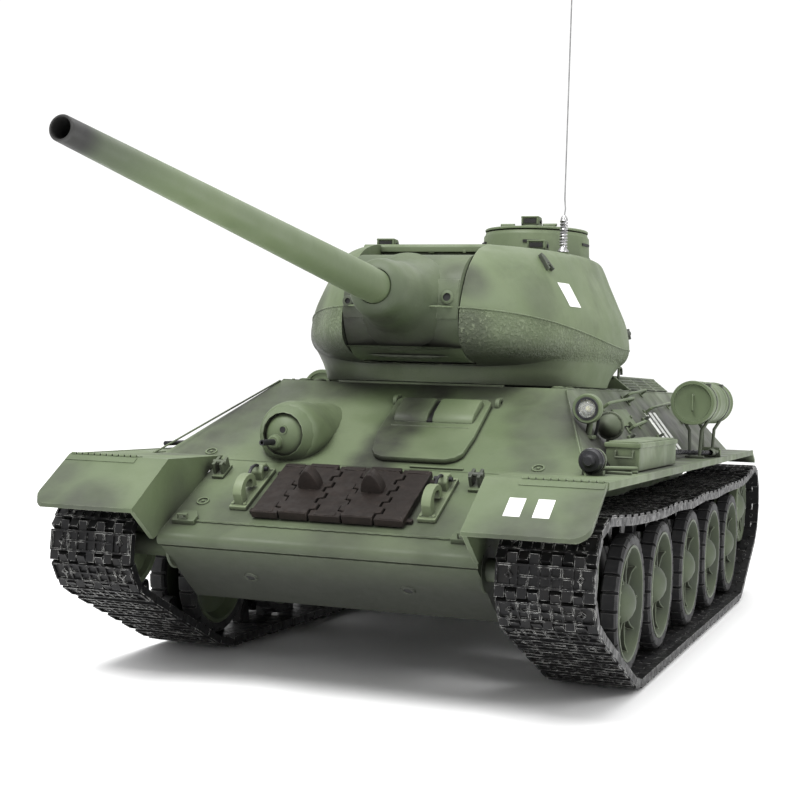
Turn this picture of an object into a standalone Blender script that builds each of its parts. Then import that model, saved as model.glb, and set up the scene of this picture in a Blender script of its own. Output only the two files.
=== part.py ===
"""A radio-controlled model of a medium tank, one sixteenth of full size.

The tank faces -Y, its left side is +X, and it stands on z = 0. Sizes below are in millimetres.
A station is a distance behind the first road-wheel axle; aft() turns it into a Y position.
"""
import math

import bmesh
import bpy
from mathutils import Matrix, Vector

MM = 0.001

# Frame
FIRST_AXLE_Y = -41.87
GAP = 0.3
STEP = 0.15

# Running gear
AXLE_STATIONS = (0.0, 57.5, 123.5, 182.0, 240.5)
AXLE_Z = 29.3
WHEEL_R = 24.0
WHEEL_INNER_X, WHEEL_OUTER_X = 70.0, 88.0
GROOVE = (76.0, 82.0)
ARM_REACH, ARM_RISE = 20.0, 8.7
IDLER = (-62.6, 45.0)
IDLER_R = 15.0
SPROCKET = (283.5, 44.2)
SPROCKET_R = 18.2
TRACK_X = (62.5, 93.5)
TRACK_THICKNESS = 5.0
TOP_RUN_Z = 57.2

# Hull
FENDER_OUTER_X = 93.75
FENDER_TOP, FENDER_THICKNESS = 74.6, 1.4
TUB_X = 55.0
BELLY_Z = 26.5
ROOF_Z = 102.6
ROOF_HALF, SPONSON_HALF = 57.0, 79.0
GLACIS_FOOT = (-78.0, 49.1)
GLACIS_TOP_STATION = 21.4
NOSE_R = 2.5
LOWER_PLATE = ((-73.7, 45.9), (-47.5, 26.5))
REAR_FOOT = (290.0, 60.0)
WALL = 2.2

# Turret
RING_STATION = 79.4
RING_R = 43.6
COLLAR_R = 57.7
TURRET_FOOT, TURRET_ROOF = 103.2, 156.5
TRUNNION = (17.0, 131.0)
MANTLET_R, MANTLET_HALF = 20.0, 22.3
GUN_ELEVATION = 6.2
MUZZLE_REACH = 241.2
CUPOLA = (22.0, 100.0)
CUPOLA_R = 22.7
CUPOLA_TOP = 167.4
CUPOLA_LID_R = 20.6
LOADER = (-23.0, 84.0)
LOADER_LID_R = 13.0
ANTENNA = (42.5, 66.0)
ANTENNA_TIP_Z = 262.0

# Fittings: a point is (X, station, Z)
BOW_GUN_SPOT = (-30.5, -25.5, 83.3)
BOW_GUN_R = 8.6
HATCH_X, HATCH_HINGE_UP = 16.0, 98.6
TOW_HOOK_X, TOW_HOOK_UP = 33.5, 19.6
SPARE_LINKS_UP, SPARE_LINK_LENGTH = 14.6, 31.4
SPARE_LINKS = ((-22.1, 9.0), (-11.3, 12.6), (-0.1, 9.8), (11.3, 13.0), (22.8, 9.4))
DRUM_X, DRUM_Z, DRUM_R, DRUM_LENGTH = 85.0, 98.6, 8.9, 56.0
HEADLIGHT_SPOT = (70.0, 1.0, 95.9)
HORN_SPOT = (74.0, 19.0, 89.8)

GLACIS_SLOPE = math.atan2(ROOF_Z - GLACIS_FOOT[1], GLACIS_TOP_STATION - GLACIS_FOOT[0])
LEFT, RIGHT = 1, -1
SIDES = (("left", LEFT), ("right", RIGHT))


def aft(station):
    """Y position of a station, in millimetres."""
    return FIRST_AXLE_Y + station


def spot(point):
    """A point given as (X, station, Z), in the frame."""
    return (point[0], aft(point[1]), point[2])


def glacis_z(station):
    """Height of the glacis's outer face."""
    return GLACIS_FOOT[1] + (station - GLACIS_FOOT[0]) * math.tan(GLACIS_SLOPE)


def rear_station(z):
    """Station of the rear plate's outer face, which leans at 45 degrees."""
    return REAR_FOOT[0] - (z - REAR_FOOT[1])


def side_x(z):
    """Half-width of the hull above the fenders."""
    share = (z - FENDER_TOP) / (ROOF_Z - FENDER_TOP)
    return SPONSON_HALF + share * (ROOF_HALF - SPONSON_HALF)


# ---------------------------------------------------------------- materials

def material(name, colour, roughness, metallic=0.0):
    made = bpy.data.materials.new(name)
    made.use_nodes = True
    shader = made.node_tree.nodes["Principled BSDF"]
    shader.inputs["Base Color"].default_value = (*colour, 1.0)
    shader.inputs["Roughness"].default_value = roughness
    shader.inputs["Metallic"].default_value = metallic
    made.diffuse_color = (*colour, 1.0)
    return made


PAINTS = {
    "green": ((0.16, 0.20, 0.12), 0.6, 0.0),
    "dark_green": ((0.06, 0.08, 0.05), 0.55, 0.0),
    "black_track": ((0.03, 0.03, 0.032), 0.5, 0.6),
    "rust_brown": ((0.10, 0.065, 0.045), 0.7, 0.2),
    "steel": ((0.55, 0.55, 0.55), 0.3, 1.0),
    "lens": ((0.9, 0.9, 0.85), 0.05, 0.0),
    "black_plastic": ((0.02, 0.02, 0.02), 0.5, 0.0),
    "board": ((0.02, 0.12, 0.05), 0.5, 0.0),
    "cell_wrap": ((0.03, 0.10, 0.30), 0.4, 0.0),
}


# ---------------------------------------------------------------- solids

def add_object(name, work, paint, pivot=(0.0, 0.0, 0.0), smooth=False):
    """Turns a bmesh in millimetres, built about its pivot, into an object."""
    bmesh.ops.recalc_face_normals(work, faces=work.faces)
    bmesh.ops.scale(work, vec=(MM, MM, MM), verts=work.verts)
    mesh = bpy.data.meshes.new(name)
    work.to_mesh(mesh)
    work.free()
    for face in mesh.polygons:
        face.use_smooth = smooth
    if smooth:
        mesh.set_sharp_from_angle(angle=math.radians(35))
    made = bpy.data.objects.new(name, mesh)
    made.location = Vector(pivot) * MM
    bpy.context.scene.collection.objects.link(made)
    if paint:
        mesh.materials.append(material(name, *PAINTS[paint]))
    return made


def prism(name, outline, axis, low, high, paint=None, pivot=(0, 0, 0)):
    """Extrudes an outline along X, Y or Z; the outline holds the other two coordinates in order."""
    def place(point, depth):
        corner = list(point)
        corner.insert("XYZ".index(axis), depth)
        return Vector(corner) - Vector(pivot)
    work = bmesh.new()
    near = [work.verts.new(place(point, low)) for point in outline]
    far = [work.verts.new(place(point, high)) for point in outline]
    work.faces.new(near)
    work.faces.new(list(reversed(far)))
    for k in range(len(outline)):
        after = (k + 1) % len(outline)
        work.faces.new((near[after], near[k], far[k], far[after]))
    return add_object(name, work, paint, pivot)


def block(name, low, high, paint=None):
    outline = [(low[0], low[1]), (high[0], low[1]), (high[0], high[1]), (low[0], high[1])]
    return prism(name, outline, "Z", low[2], high[2], paint)


def turned(name, profile, axis, centre, paint=None, pivot=None, segments=24):
    """Revolves (distance along the axis, radius) points; a profile that starts and ends off the
    axis is closed into a ring."""
    pivot = Vector(centre if pivot is None else pivot)
    first, second = {"X": (1, 2), "Y": (2, 0), "Z": (0, 1)}[axis]
    work = bmesh.new()
    loops = []
    for along, radius in profile:
        ring = []
        for k in range(segments if radius > 0 else 1):
            angle = 2 * math.pi * k / segments
            point = Vector(centre)
            point["XYZ".index(axis)] += along
            point[first] += radius * math.cos(angle)
            point[second] += radius * math.sin(angle)
            ring.append(work.verts.new(point - pivot))
        loops.append(ring)
    if profile[0][1] > 0 and profile[-1][1] > 0:
        loops.append(loops[0])
    for near, far in zip(loops, loops[1:]):
        for k in range(segments):
            after = (k + 1) % segments
            if len(near) == 1:
                work.faces.new((near[0], far[k], far[after]))
            elif len(far) == 1:
                work.faces.new((near[k], far[0], near[after]))
            else:
                work.faces.new((near[k], far[k], far[after], near[after]))
    return add_object(name, work, paint, pivot, smooth=True)


def rod(name, axis, centre, start, end, radius, segments=12, paint=None, pivot=None):
    profile = [(start, 0), (start, radius), (end, radius), (end, 0)]
    return turned(name, profile, axis, centre, paint, pivot, segments)


def lofted(name, rings, paint=None, smooth=True):
    """Joins rings of equal point counts, each a list of (x, y, z), and caps both ends."""
    work = bmesh.new()
    loops = [[work.verts.new(point) for point in ring] for ring in rings]
    for near, far in zip(loops, loops[1:]):
        for k in range(len(near)):
            after = (k + 1) % len(near)
            work.faces.new((near[k], near[after], far[after], far[k]))
    work.faces.new(list(reversed(loops[0])))
    work.faces.new(loops[-1])
    return add_object(name, work, paint, smooth=smooth)


def ball(name, centre, radius, paint=None, segments=16):
    steps = segments // 2
    profile = [(-radius * math.cos(math.pi * k / steps), radius * math.sin(math.pi * k / steps))
               for k in range(steps + 1)]
    profile[0], profile[-1] = (-radius, 0), (radius, 0)
    return turned(name, profile, "Y", centre, paint, segments=segments)


def combine(target, helper, operation):
    """Adds, cuts or trims with a helper solid, which stays in the file as a wire-frame cutter."""
    step = target.modifiers.new(f"{operation.lower()}_{helper.name}", "BOOLEAN")
    step.operation = operation
    step.solver = "EXACT"
    step.object = helper
    helper.hide_render = True
    helper.display_type = "WIRE"
    return target


def fuse(target, *helpers):
    for helper in helpers:
        combine(target, helper, "UNION")
    return target


def cut(target, *helpers):
    for helper in helpers:
        combine(target, helper, "DIFFERENCE")
    return target


def on_glacis(obj, across=0.0, up=0.0, out=0.0):
    """Moves an object built in glacis coordinates (across, up the slope, out of the plate)."""
    turn = Matrix.Rotation(GLACIS_SLOPE, 4, "X")
    foot = Vector((0, aft(GLACIS_FOOT[0]), GLACIS_FOOT[1])) * MM
    obj.matrix_world = Matrix.Translation(foot) @ turn @ Matrix.Translation(Vector((across, up, out)) * MM)
    return obj


def arc(centre, radius, start, end, steps):
    """Points on an arc, angles in degrees."""
    angles = [math.radians(start + (end - start) * k / steps) for k in range(steps + 1)]
    return [(centre[0] + radius * math.cos(a), centre[1] + radius * math.sin(a)) for a in angles]


# ---------------------------------------------------------------- lower hull

def lower_hull():
    lip = WALL / math.cos(GLACIS_SLOPE) + GAP + 0.05
    top = FENDER_TOP - FENDER_THICKNESS - GAP
    glacis_meets_top = GLACIS_FOOT[0] + (top + lip - GLACIS_FOOT[1]) / math.tan(GLACIS_SLOPE)
    behind_nose = LOWER_PLATE[0][0] + 2.6
    outline = [(behind_nose, glacis_z(behind_nose) - lip), *LOWER_PLATE, (266.0, BELLY_Z),
               (REAR_FOOT[0], 57.0), (REAR_FOOT[0], REAR_FOOT[1] - GAP),
               (rear_station(REAR_FOOT[1]) - WALL * 1.42 - GAP, REAR_FOOT[1] - GAP),
               (rear_station(top) - WALL * 1.42 - GAP, top), (glacis_meets_top, top)]
    hull = prism("lower_hull", [(aft(s), z) for s, z in outline], "X", -TUB_X, TUB_X, "green")
    for word, side in SIDES:
        centre = (side * TUB_X, aft(SPROCKET[0]), SPROCKET[1])
        fuse(hull, rod(f"final_drive_{word}", "X", centre, -5, 5, 11.5, 20))
    floor = BELLY_Z + WALL
    inside = [(-45.5, floor), (-67.0, 45.6), (-67.0, 90.0), (271.0, 90.0), (271.0, 71.5), (283.0, 59.0),
              (281.5, 50.0), (264.6, floor)]
    cut(hull, prism("tub_space", [(aft(s), z) for s, z in inside], "X", 2 - TUB_X, TUB_X - 2))
    shafts = [IDLER, SPROCKET] + [(s - ARM_REACH, AXLE_Z + ARM_RISE) for s in AXLE_STATIONS]
    for k, (station, z) in enumerate(shafts):
        cut(hull, rod(f"shaft_hole_{k}", "X", (0, aft(station), z), -70, 70, 2.2))
    return hull


def battery_door():
    return block("battery_door", (-27, aft(15), BELLY_Z - 1.5), (27, aft(118), BELLY_Z - GAP), "green")


# ---------------------------------------------------------------- upper hull

def hull_frustum(name, low_z, high_z, inset, glacis_drop, rear_inset, paint=None):
    """The sloped body above the fenders, or the space inside it."""
    rings = []
    for z in (low_z, high_z):
        x = side_x(z) - inset
        front = GLACIS_FOOT[0] + (z + glacis_drop - GLACIS_FOOT[1]) / math.tan(GLACIS_SLOPE)
        back = rear_station(z) - rear_inset
        rings.append([(-x, aft(front), z), (x, aft(front), z), (x, aft(back), z), (-x, aft(back), z)])
    return lofted(name, rings, paint, smooth=False)


def mudguard_corner(word, side):
    """What is cut away to round the lower outer corner of a front mudguard."""
    reach, drop, tip = 9.0, 6.0, -93.6
    inner = FENDER_OUTER_X - reach
    outline = [(inner + reach * math.sin(math.radians(a)), tip + drop * (1 - math.cos(math.radians(a))))
               for a in range(0, 91, 15)]
    outline += [(FENDER_OUTER_X + 3, tip + drop), (FENDER_OUTER_X + 3, tip - 3), (inner, tip - 3)]
    outline = [(side * x, aft(s)) for x, s in outline]
    return prism(f"mudguard_corner_{word}", outline, "Z", 50, 72)


def fender(word, side):
    bottom = FENDER_TOP - FENDER_THICKNESS
    outline = [(-93.0, 59.4), (-70.3, FENDER_TOP), (267.0, FENDER_TOP), (278.5, 69.4),
               (278.0, 68.0), (266.4, bottom), (-69.9, bottom), (-92.4, 58.0)]
    low, high = sorted((side * (TUB_X + GAP), side * FENDER_OUTER_X))
    return prism(f"fender_{word}", [(aft(s), z) for s, z in outline], "X", low, high)


def mudguard_side(word, side):
    outline = [(-34.0, 74.0), (-70.0, 74.0), (-92.6, 58.9), (-78.5, 48.6), (-60.0, 56.6)]
    low, high = sorted((side * (TUB_X + GAP), side * (TUB_X + 1.8)))
    return prism(f"mudguard_side_{word}", [(aft(s), z) for s, z in outline], "X", low, high)


def nose_plate(thickness):
    """Section of the glacis's lower end, which rounds over the nose on to the lower plate."""
    reach = -18.0
    foot_s, foot_z = GLACIS_FOOT
    (low_s, low_z), (end_s, end_z) = LOWER_PLATE
    dive = math.atan2(low_z - end_z, end_s - low_s)
    half_angle = (GLACIS_SLOPE + dive) / 2
    far = NOSE_R / math.sin(half_angle)
    aim = GLACIS_SLOPE - half_angle
    centre = (foot_s + far * math.cos(aim), foot_z + far * math.sin(aim) - STEP)
    bend = arc(centre, NOSE_R, 90 + math.degrees(GLACIS_SLOPE), 270 - math.degrees(dive), 6)
    inside = bend[-1][0] + 2.6
    return [(reach, glacis_z(reach) - STEP)] + bend + [
        (inside, glacis_z(inside) - thickness), (reach, glacis_z(reach) - thickness - STEP)]


def upper_hull():
    bottom = FENDER_TOP - FENDER_THICKNESS
    hull = hull_frustum("upper_hull", bottom + STEP, ROOF_Z, 0, 0, 0, "green")
    drop = WALL / math.cos(GLACIS_SLOPE)
    inner_top = ROOF_Z - WALL
    roomy = hull_frustum("sponson_space", FENDER_TOP + 1.0, inner_top, WALL * 1.3, drop, WALL * 1.42)
    half = TUB_X - 2.2
    opening = block("belly_opening", (-half, aft(-20.0), bottom - 5), (half, aft(267), FENDER_TOP + 3))
    cut(hull, roomy, opening)

    fuse(hull, prism("nose_plate", [(aft(s), z) for s, z in nose_plate(drop)], "X", -TUB_X - 0.6, TUB_X + 0.6))
    high = 78.0
    slant = WALL * 1.42
    tail_plate = [(rear_station(high) - STEP, high), (REAR_FOOT[0] - STEP, REAR_FOOT[1]),
                  (REAR_FOOT[0] - slant - STEP, REAR_FOOT[1]), (rear_station(high) - slant - STEP, high)]
    fuse(hull, prism("tail_plate", [(aft(s), z) for s, z in tail_plate], "X", -TUB_X, TUB_X))
    for word, side in SIDES:
        fuse(hull, cut(fender(word, side), mudguard_corner(word, side)), mudguard_side(word, side))

    gun_spot = spot(BOW_GUN_SPOT)
    fuse(hull, ball("gun_port_housing", gun_spot, BOW_GUN_R + 3.0))
    fuse(hull, rod("gun_port_bulge", "Y", gun_spot, 1, 28, BOW_GUN_R + 2.7, 24))
    cut(hull, ball("gun_port_socket", gun_spot, BOW_GUN_R + GAP))
    cut(hull, rod("gun_port_mouth", "Y", gun_spot, -14, 0, BOW_GUN_R - 0.9, 16))
    cut(hull, rod("turret_ring_hole", "Z", (0, aft(RING_STATION), ROOF_Z), -8, 8, RING_R + 0.7, 40))
    cut(hull, on_glacis(block("hatch_way", (3, 62, -6), (28, 93, 6))))
    return hull


def bow_gun():
    gun = ball("bow_gun", spot(BOW_GUN_SPOT), BOW_GUN_R, "green")
    barrel = rod("bow_gun_barrel", "Y", spot(BOW_GUN_SPOT), -21, -4, 1.3, 12)
    return fuse(gun, barrel)


def driver_hatch():
    outline = [(-2.8, 96.6), (-2.2, 72.0), (0.4, 59.5), (2.2, 56.8), (5.5, 55.2), (28.5, 55.2), (31.6, 56.8),
               (33.6, 59.8), (34.2, 72.0), (33.4, 96.6), (31.6, HATCH_HINGE_UP), (-1.2, HATCH_HINGE_UP)]
    hatch = prism("driver_hatch", [(x - HATCH_X, up - HATCH_HINGE_UP) for x, up in outline], "Z", GAP, 3.2, "green")
    for word, low, high in (("left", 15.4, 31.2), ("right", 1.2, 14.2)):
        cover = block(f"vision_cover_{word}", (low - HATCH_X, -19.2, 1.0), (high - HATCH_X, -3.4, 6.0))
        fuse(hatch, cover)
        on_glacis(cover, HATCH_X, HATCH_HINGE_UP)
    return on_glacis(hatch, HATCH_X, HATCH_HINGE_UP)


def tow_hook(word, side):
    base = block(f"tow_hook_{word}", (-3.0, 0, GAP), (3.0, 24.6, 2.2), "dark_green")
    post = block(f"tow_hook_post_{word}", (-1.7, 2, 1), (1.7, 11, 7.5))
    latch = block(f"tow_hook_latch_{word}", (-1.2, 10, 3.0), (1.2, 21, 5.5))
    stay = block(f"tow_hook_stay_{word}", (-2.2, 17, 1), (2.2, 21.6, 4.2))
    fuse(base, post, latch, stay)
    for piece in (base, post, latch, stay):
        on_glacis(piece, side * TOW_HOOK_X, TOW_HOOK_UP)
    return base


def spare_tracks():
    """Five track links pinned side by side across the glacis; the wider two have guide horns."""
    low_x = SPARE_LINKS[0][0] - SPARE_LINKS[0][1] / 2
    high_x = SPARE_LINKS[-1][0] + SPARE_LINKS[-1][1] / 2
    length = SPARE_LINK_LENGTH
    rack = block("spare_tracks", (low_x, 0, GAP), (high_x, length, 2.0), "rust_brown")
    on_glacis(rack, 0, SPARE_LINKS_UP)
    for k, (centre, width) in enumerate(SPARE_LINKS):
        half = width / 2 - 0.7
        plate = block(f"spare_link_{k}", (centre - half, 0.6, 1.5), (centre + half, length - 0.6, 3.2))
        fuse(rack, on_glacis(plate, 0, SPARE_LINKS_UP))
        if k % 2:
            side_view = [(centre - 4.2, 1.5), (centre + 4.2, 1.5), (centre + 1.5, 9.0), (centre - 1.5, 9.0)]
            tooth = prism(f"spare_horn_{k}", side_view, "Y", 15, 19.6)
            fuse(rack, on_glacis(tooth, 0, SPARE_LINKS_UP))
    return rack


# ---------------------------------------------------------------- deck and fender fittings

def engine_deck():
    """The plate behind the turret with the two raised air intakes."""
    front, back = aft(143), aft(236)
    deck = block("engine_deck", (-52, front, ROOF_Z + GAP), (52, back, ROOF_Z + 2.0), "green")
    for word, side in SIDES:
        outline = [(side * 33, ROOF_Z + 1), (side * 33, 108.0), (side * 35, 109.4), (side * 47, 109.4),
                   (side * 54.5, ROOF_Z + 2.2), (side * 54.5, ROOF_Z + GAP), (side * 50, ROOF_Z + GAP)]
        fuse(deck, prism(f"intake_{word}", outline, "Y", front, back))
    cover = block("engine_cover", (-20, front + 6, ROOF_Z + 1), (20, front + 50, ROOF_Z + 4.2))
    return fuse(deck, cover)


def rear_hatch():
    hatch = rod("rear_hatch", "Z", (0, 0, 0), GAP, 2.6, 13.5, 28, "green")
    middle = 78.0
    at = Vector((0, aft(rear_station(middle)), middle)) * MM
    hatch.matrix_world = Matrix.Translation(at) @ Matrix.Rotation(math.radians(-45), 4, "X")
    return hatch


def exhaust(word, side):
    centre = (side * 33, aft(rear_station(80)), 80)
    lean = Matrix.Translation(Vector(centre) * MM) @ Matrix.Rotation(math.radians(-45), 4, "X")
    cover = rod(f"exhaust_{word}", "Z", (0, 0, 0), GAP, 5.0, 9.0, 20, "dark_green")
    cover.matrix_world = lean
    pipe = turned(f"exhaust_pipe_{word}", [(4, 0), (4, 4.6), (16, 4.6), (16, 3.4), (9, 3.4), (9, 0)],
                  "Z", (0, 0, 0), segments=16)
    pipe.matrix_world = lean @ Matrix.Rotation(math.radians(-25), 4, "X")
    return fuse(cover, pipe)


def fuel_drum(name, side, station):
    """A ribbed drum on two feet that reach down to the fender."""
    length = DRUM_LENGTH
    rib = DRUM_R + 0.6
    profile = [(0, 0), (0, rib), (2, rib), (2, DRUM_R), (17, DRUM_R), (18, rib), (20, rib), (21, DRUM_R),
               (35, DRUM_R), (36, rib), (38, rib), (39, DRUM_R), (54, DRUM_R), (54, rib), (length, rib),
               (length, 0)]
    centre = (side * DRUM_X, aft(station), DRUM_Z)
    drum = turned(name, profile, "Y", centre, "green", segments=18)
    foot_z = FENDER_TOP + GAP
    for k, along in enumerate((10, 42)):
        y = aft(station + along)
        low, high = sorted((side * 82.0, side * 88.0))
        foot = block(f"{name}_foot_{k}", (low, y, foot_z), (high, y + 4, DRUM_Z - 6))
        fuse(drum, foot)
    return drum


def toolbox():
    outline = [(77.5, 84.6), (77.5, 78.4), (80.2, FENDER_TOP + GAP), (89.4, FENDER_TOP + GAP), (89.4, 84.6)]
    box = prism("toolbox", outline, "Y", aft(-2), aft(69), "green")
    lid = block("toolbox_lid", (77.0, aft(-2.6), 82.6), (89.9, aft(69.6), 85.2))
    return fuse(box, lid)


def headlight():
    profile = [(0.8, 0), (0.8, 3.1), (-1.2, 3.1), (-1.2, 5.05), (2.5, 5.05), (6.5, 3.6), (8.0, 2.0), (8.0, 0)]
    shell = turned("headlight", profile, "Y", spot(HEADLIGHT_SPOT), "green", segments=20)
    x, y, z = spot(HEADLIGHT_SPOT)
    stem = block("headlight_stem", (x - 1.2, y + 2, side_stem_z(x)), (x + 1.2, y + 5, z - 3))
    return fuse(shell, stem)


def side_stem_z(x):
    """A point just above the sloped hull side, or the fender outside of it."""
    share = (SPONSON_HALF - x + 1.8) / (SPONSON_HALF - ROOF_HALF)
    return max(FENDER_TOP + share * (ROOF_Z - FENDER_TOP) + 0.4, FENDER_TOP + GAP)


def headlight_lens():
    profile = [(-1.0, 0), (-1.0, 2.6), (0.5, 2.8), (0.5, 0)]
    return turned("headlight_lens", profile, "Y", spot(HEADLIGHT_SPOT), "lens", segments=16)


def horn():
    profile = [(-5.2, 0), (-4.6, 2.2), (-2.6, 3.8), (0, 4.3), (0, 4.9), (1.6, 4.9), (1.6, 3.6), (4.0, 2.6),
               (4.0, 0)]
    dome = turned("horn", profile, "Y", spot(HORN_SPOT), "dark_green", segments=20)
    x, y, z = spot(HORN_SPOT)
    stem = block("horn_stem", (x - 1.2, y + 0.4, side_stem_z(x)), (x + 1.2, y + 3.2, z - 2))
    return fuse(dome, stem)


# ---------------------------------------------------------------- turret

# Height, half-width, and the front, widest and rear stations of each level of the casting, with the
# powers of its two half-superellipses. The two lowest are the round collar.
WIDEST = 92.0
TURRET_LEVELS = (
    (TURRET_FOOT, COLLAR_R, RING_STATION - COLLAR_R, RING_STATION, RING_STATION + COLLAR_R, 2.0, 2.0),
    (110.2, COLLAR_R, RING_STATION - COLLAR_R, RING_STATION, RING_STATION + COLLAR_R, 2.0, 2.0),
    (112.4, 59.2, 6.0, 88.0, 147.0, 2.0, 2.1),
    (115.5, 61.6, -4.0, WIDEST, 157.0, 2.0, 2.3),
    (120.5, 62.5, -9.0, WIDEST, 161.5, 2.0, 2.3),
    (129.5, 60.7, -9.5, WIDEST, 163.0, 2.0, 2.3),
    (138.0, 57.0, -7.0, WIDEST, 162.0, 2.0, 2.3),
    (146.0, 53.3, -2.0, WIDEST, 160.5, 2.0, 2.3),
    (153.0, 50.4, 8.0, WIDEST, 158.0, 2.0, 2.3),
    (TURRET_ROOF, 48.4, 22.0, WIDEST, 155.5, 2.0, 2.3),
)
ROOM_LEVELS = slice(4, 9)


def turret_ring(level, count=40):
    z, half, front, middle, rear, front_power, rear_power = level
    ring = []
    for k in range(count):
        angle = 2 * math.pi * k / count
        c, s = math.cos(angle), math.sin(angle)
        reach, power = (rear - middle, rear_power) if s > 0 else (middle - front, front_power)
        x = half * math.copysign(abs(c) ** (2 / power), c)
        y = middle + reach * math.copysign(abs(s) ** (2 / power), s)
        ring.append((x, aft(y), z))
    return ring


def turret_shell():
    shell = lofted("turret_shell", [turret_ring(level) for level in TURRET_LEVELS], "green")
    ring_centre = (0, aft(RING_STATION), TURRET_FOOT)
    fuse(shell, rod("turret_bearing", "Z", ring_centre, -4.6, 4, RING_R, 40))
    wall = 3.0
    room_front = 42.0
    well_r = RING_R - 3.6
    rooms = [(z, well_r, RING_STATION - well_r, RING_STATION, RING_STATION + well_r, 2.0, 2.0)
             for z in (TURRET_FOOT - 7.2, 112.8)]
    for z, half, _, middle, rear, front_power, rear_power in TURRET_LEVELS[ROOM_LEVELS]:
        rooms.append((z, half - wall, room_front, middle, rear - wall, front_power, rear_power))
    cut(shell, lofted("turret_room", [turret_ring(level, 28) for level in rooms]))

    pocket = [(-30, 112.0), (6, 112.0)] + arc(TRUNNION, MANTLET_R + 0.6, 240, 330, 8)
    pocket += [(36, 128), (36, 146), (34, 175), (-30, 175)]
    half = MANTLET_HALF + 0.4
    cut(shell, prism("mantlet_slot", [(aft(s), h) for s, h in pocket], "X", -half, half))
    cut(shell, block("breech_way", (-14, aft(30), 120), (14, aft(60), 142)))
    hole = rod("cupola_hole", "Z", (CUPOLA[0], aft(CUPOLA[1]), 150), -4, 20, 16.5, 24)
    hole_right = rod("loader_hole", "Z", (LOADER[0], aft(LOADER[1]), 150), -4, 20, 11, 20)
    return cut(shell, hole, hole_right)


def gun_frame(obj):
    """Places an object built about the trunnion, muzzle along -Y, at the gun's elevation."""
    at = Vector((0, aft(TRUNNION[0]), TRUNNION[1])) * MM
    obj.matrix_world = Matrix.Translation(at) @ Matrix.Rotation(math.radians(-GUN_ELEVATION), 4, "X")
    return obj


def mantlet():
    shield = [(y, z) for y, z in arc((0, 0), MANTLET_R, 60, 300, 18)]
    body = prism("mantlet", shield, "X", -MANTLET_HALF, MANTLET_HALF, "green")
    snout = turned("snout", [(-10, 0), (-10, 13.5), (-22, 12.4), (-30, 11.0), (-44, 10.2), (-45, 9.4),
                             (-45, 0)], "Y", (0, 0, 0), segments=24)
    sleeve = rod("barrel_sleeve", "Y", (0, 0, 0), -50, -7.5, 6.3, 20)
    for piece in (snout, sleeve):
        gun_frame(piece)
    cut(fuse(body, snout), sleeve)
    return gun_frame(body)


def gun_barrel():
    profile = [(-19.0, 0), (-19.0, 6.0), (-62.0, 6.0), (-MUZZLE_REACH, 3.2), (-MUZZLE_REACH, 2.55),
               (8.0 - MUZZLE_REACH, 2.55), (8.0 - MUZZLE_REACH, 0)]
    return gun_frame(turned("gun_barrel", profile, "Y", (0, 0, 0), "green", segments=20))


def cupola():
    base = TURRET_ROOF + GAP
    inner = CUPOLA_R - 4.2
    profile = [(base, inner), (base, CUPOLA_R), (CUPOLA_TOP - 1, CUPOLA_R), (CUPOLA_TOP, CUPOLA_R - 1),
               (CUPOLA_TOP, inner)]
    return turned("cupola", profile, "Z", (CUPOLA[0], aft(CUPOLA[1]), 0), "green", segments=32)


def hinged_lid(name, spot_on_roof, low, radius, profile, half_knuckle):
    """A round lid whose hinge barrel lies just behind its rear edge and above the surface below."""
    barrel_r = 0.85
    x, y = spot_on_roof[0], aft(spot_on_roof[1])
    hinge = (x, y + radius + 0.3, low + barrel_r + 0.05)
    lid = turned(name, profile, "Z", (x, y, 0), "green", pivot=hinge, segments=28)
    barrel = rod(f"{name}_barrel", "X", hinge, -half_knuckle, half_knuckle, barrel_r)
    low_corner = (x - half_knuckle, hinge[1] - 4.0, low + 0.5)
    leaf = block(f"{name}_leaf", low_corner, (x + half_knuckle, hinge[1], low + 1.7))
    return fuse(lid, barrel, leaf)


def cupola_hatch():
    low = CUPOLA_TOP + GAP
    profile = [(low, 0), (low, CUPOLA_LID_R), (low + 1.4, CUPOLA_LID_R), (low + 1.4, 0)]
    return hinged_lid("cupola_hatch", CUPOLA, low, CUPOLA_LID_R, profile, 5.0)


def loader_hatch():
    low = TURRET_ROOF + GAP
    profile = [(low, 0), (low, LOADER_LID_R), (low + 1.2, LOADER_LID_R), (low + 1.6, LOADER_LID_R - 1.2),
               (low + 1.6, 0)]
    return hinged_lid("loader_hatch", LOADER, low, LOADER_LID_R, profile, 3.5)


def periscope(name, x, station, base):
    outline = [(-2.8, 0), (2.8, 0), (2.8, 2.6), (1.6, 4.6), (-3.4, 4.6), (-3.4, 2.0), (-2.8, 2.0)]
    side_view = [(aft(station) + y, base + z) for y, z in outline]
    return prism(name, side_view, "X", x - 3.9, x + 3.9, "green")


def antenna():
    """A sprung base with a wire whip."""
    foot = TURRET_ROOF + GAP
    profile = [(foot, 0), (foot, 2.3), (foot + 1.8, 1.2), (foot + 13, 1.2), (foot + 14, 0.5),
               (ANTENNA_TIP_Z, 0.35), (ANTENNA_TIP_Z, 0)]
    return turned("antenna", profile, "Z", (ANTENNA[0], aft(ANTENNA[1]), 0), "steel", segments=12)


# ---------------------------------------------------------------- running gear

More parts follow.
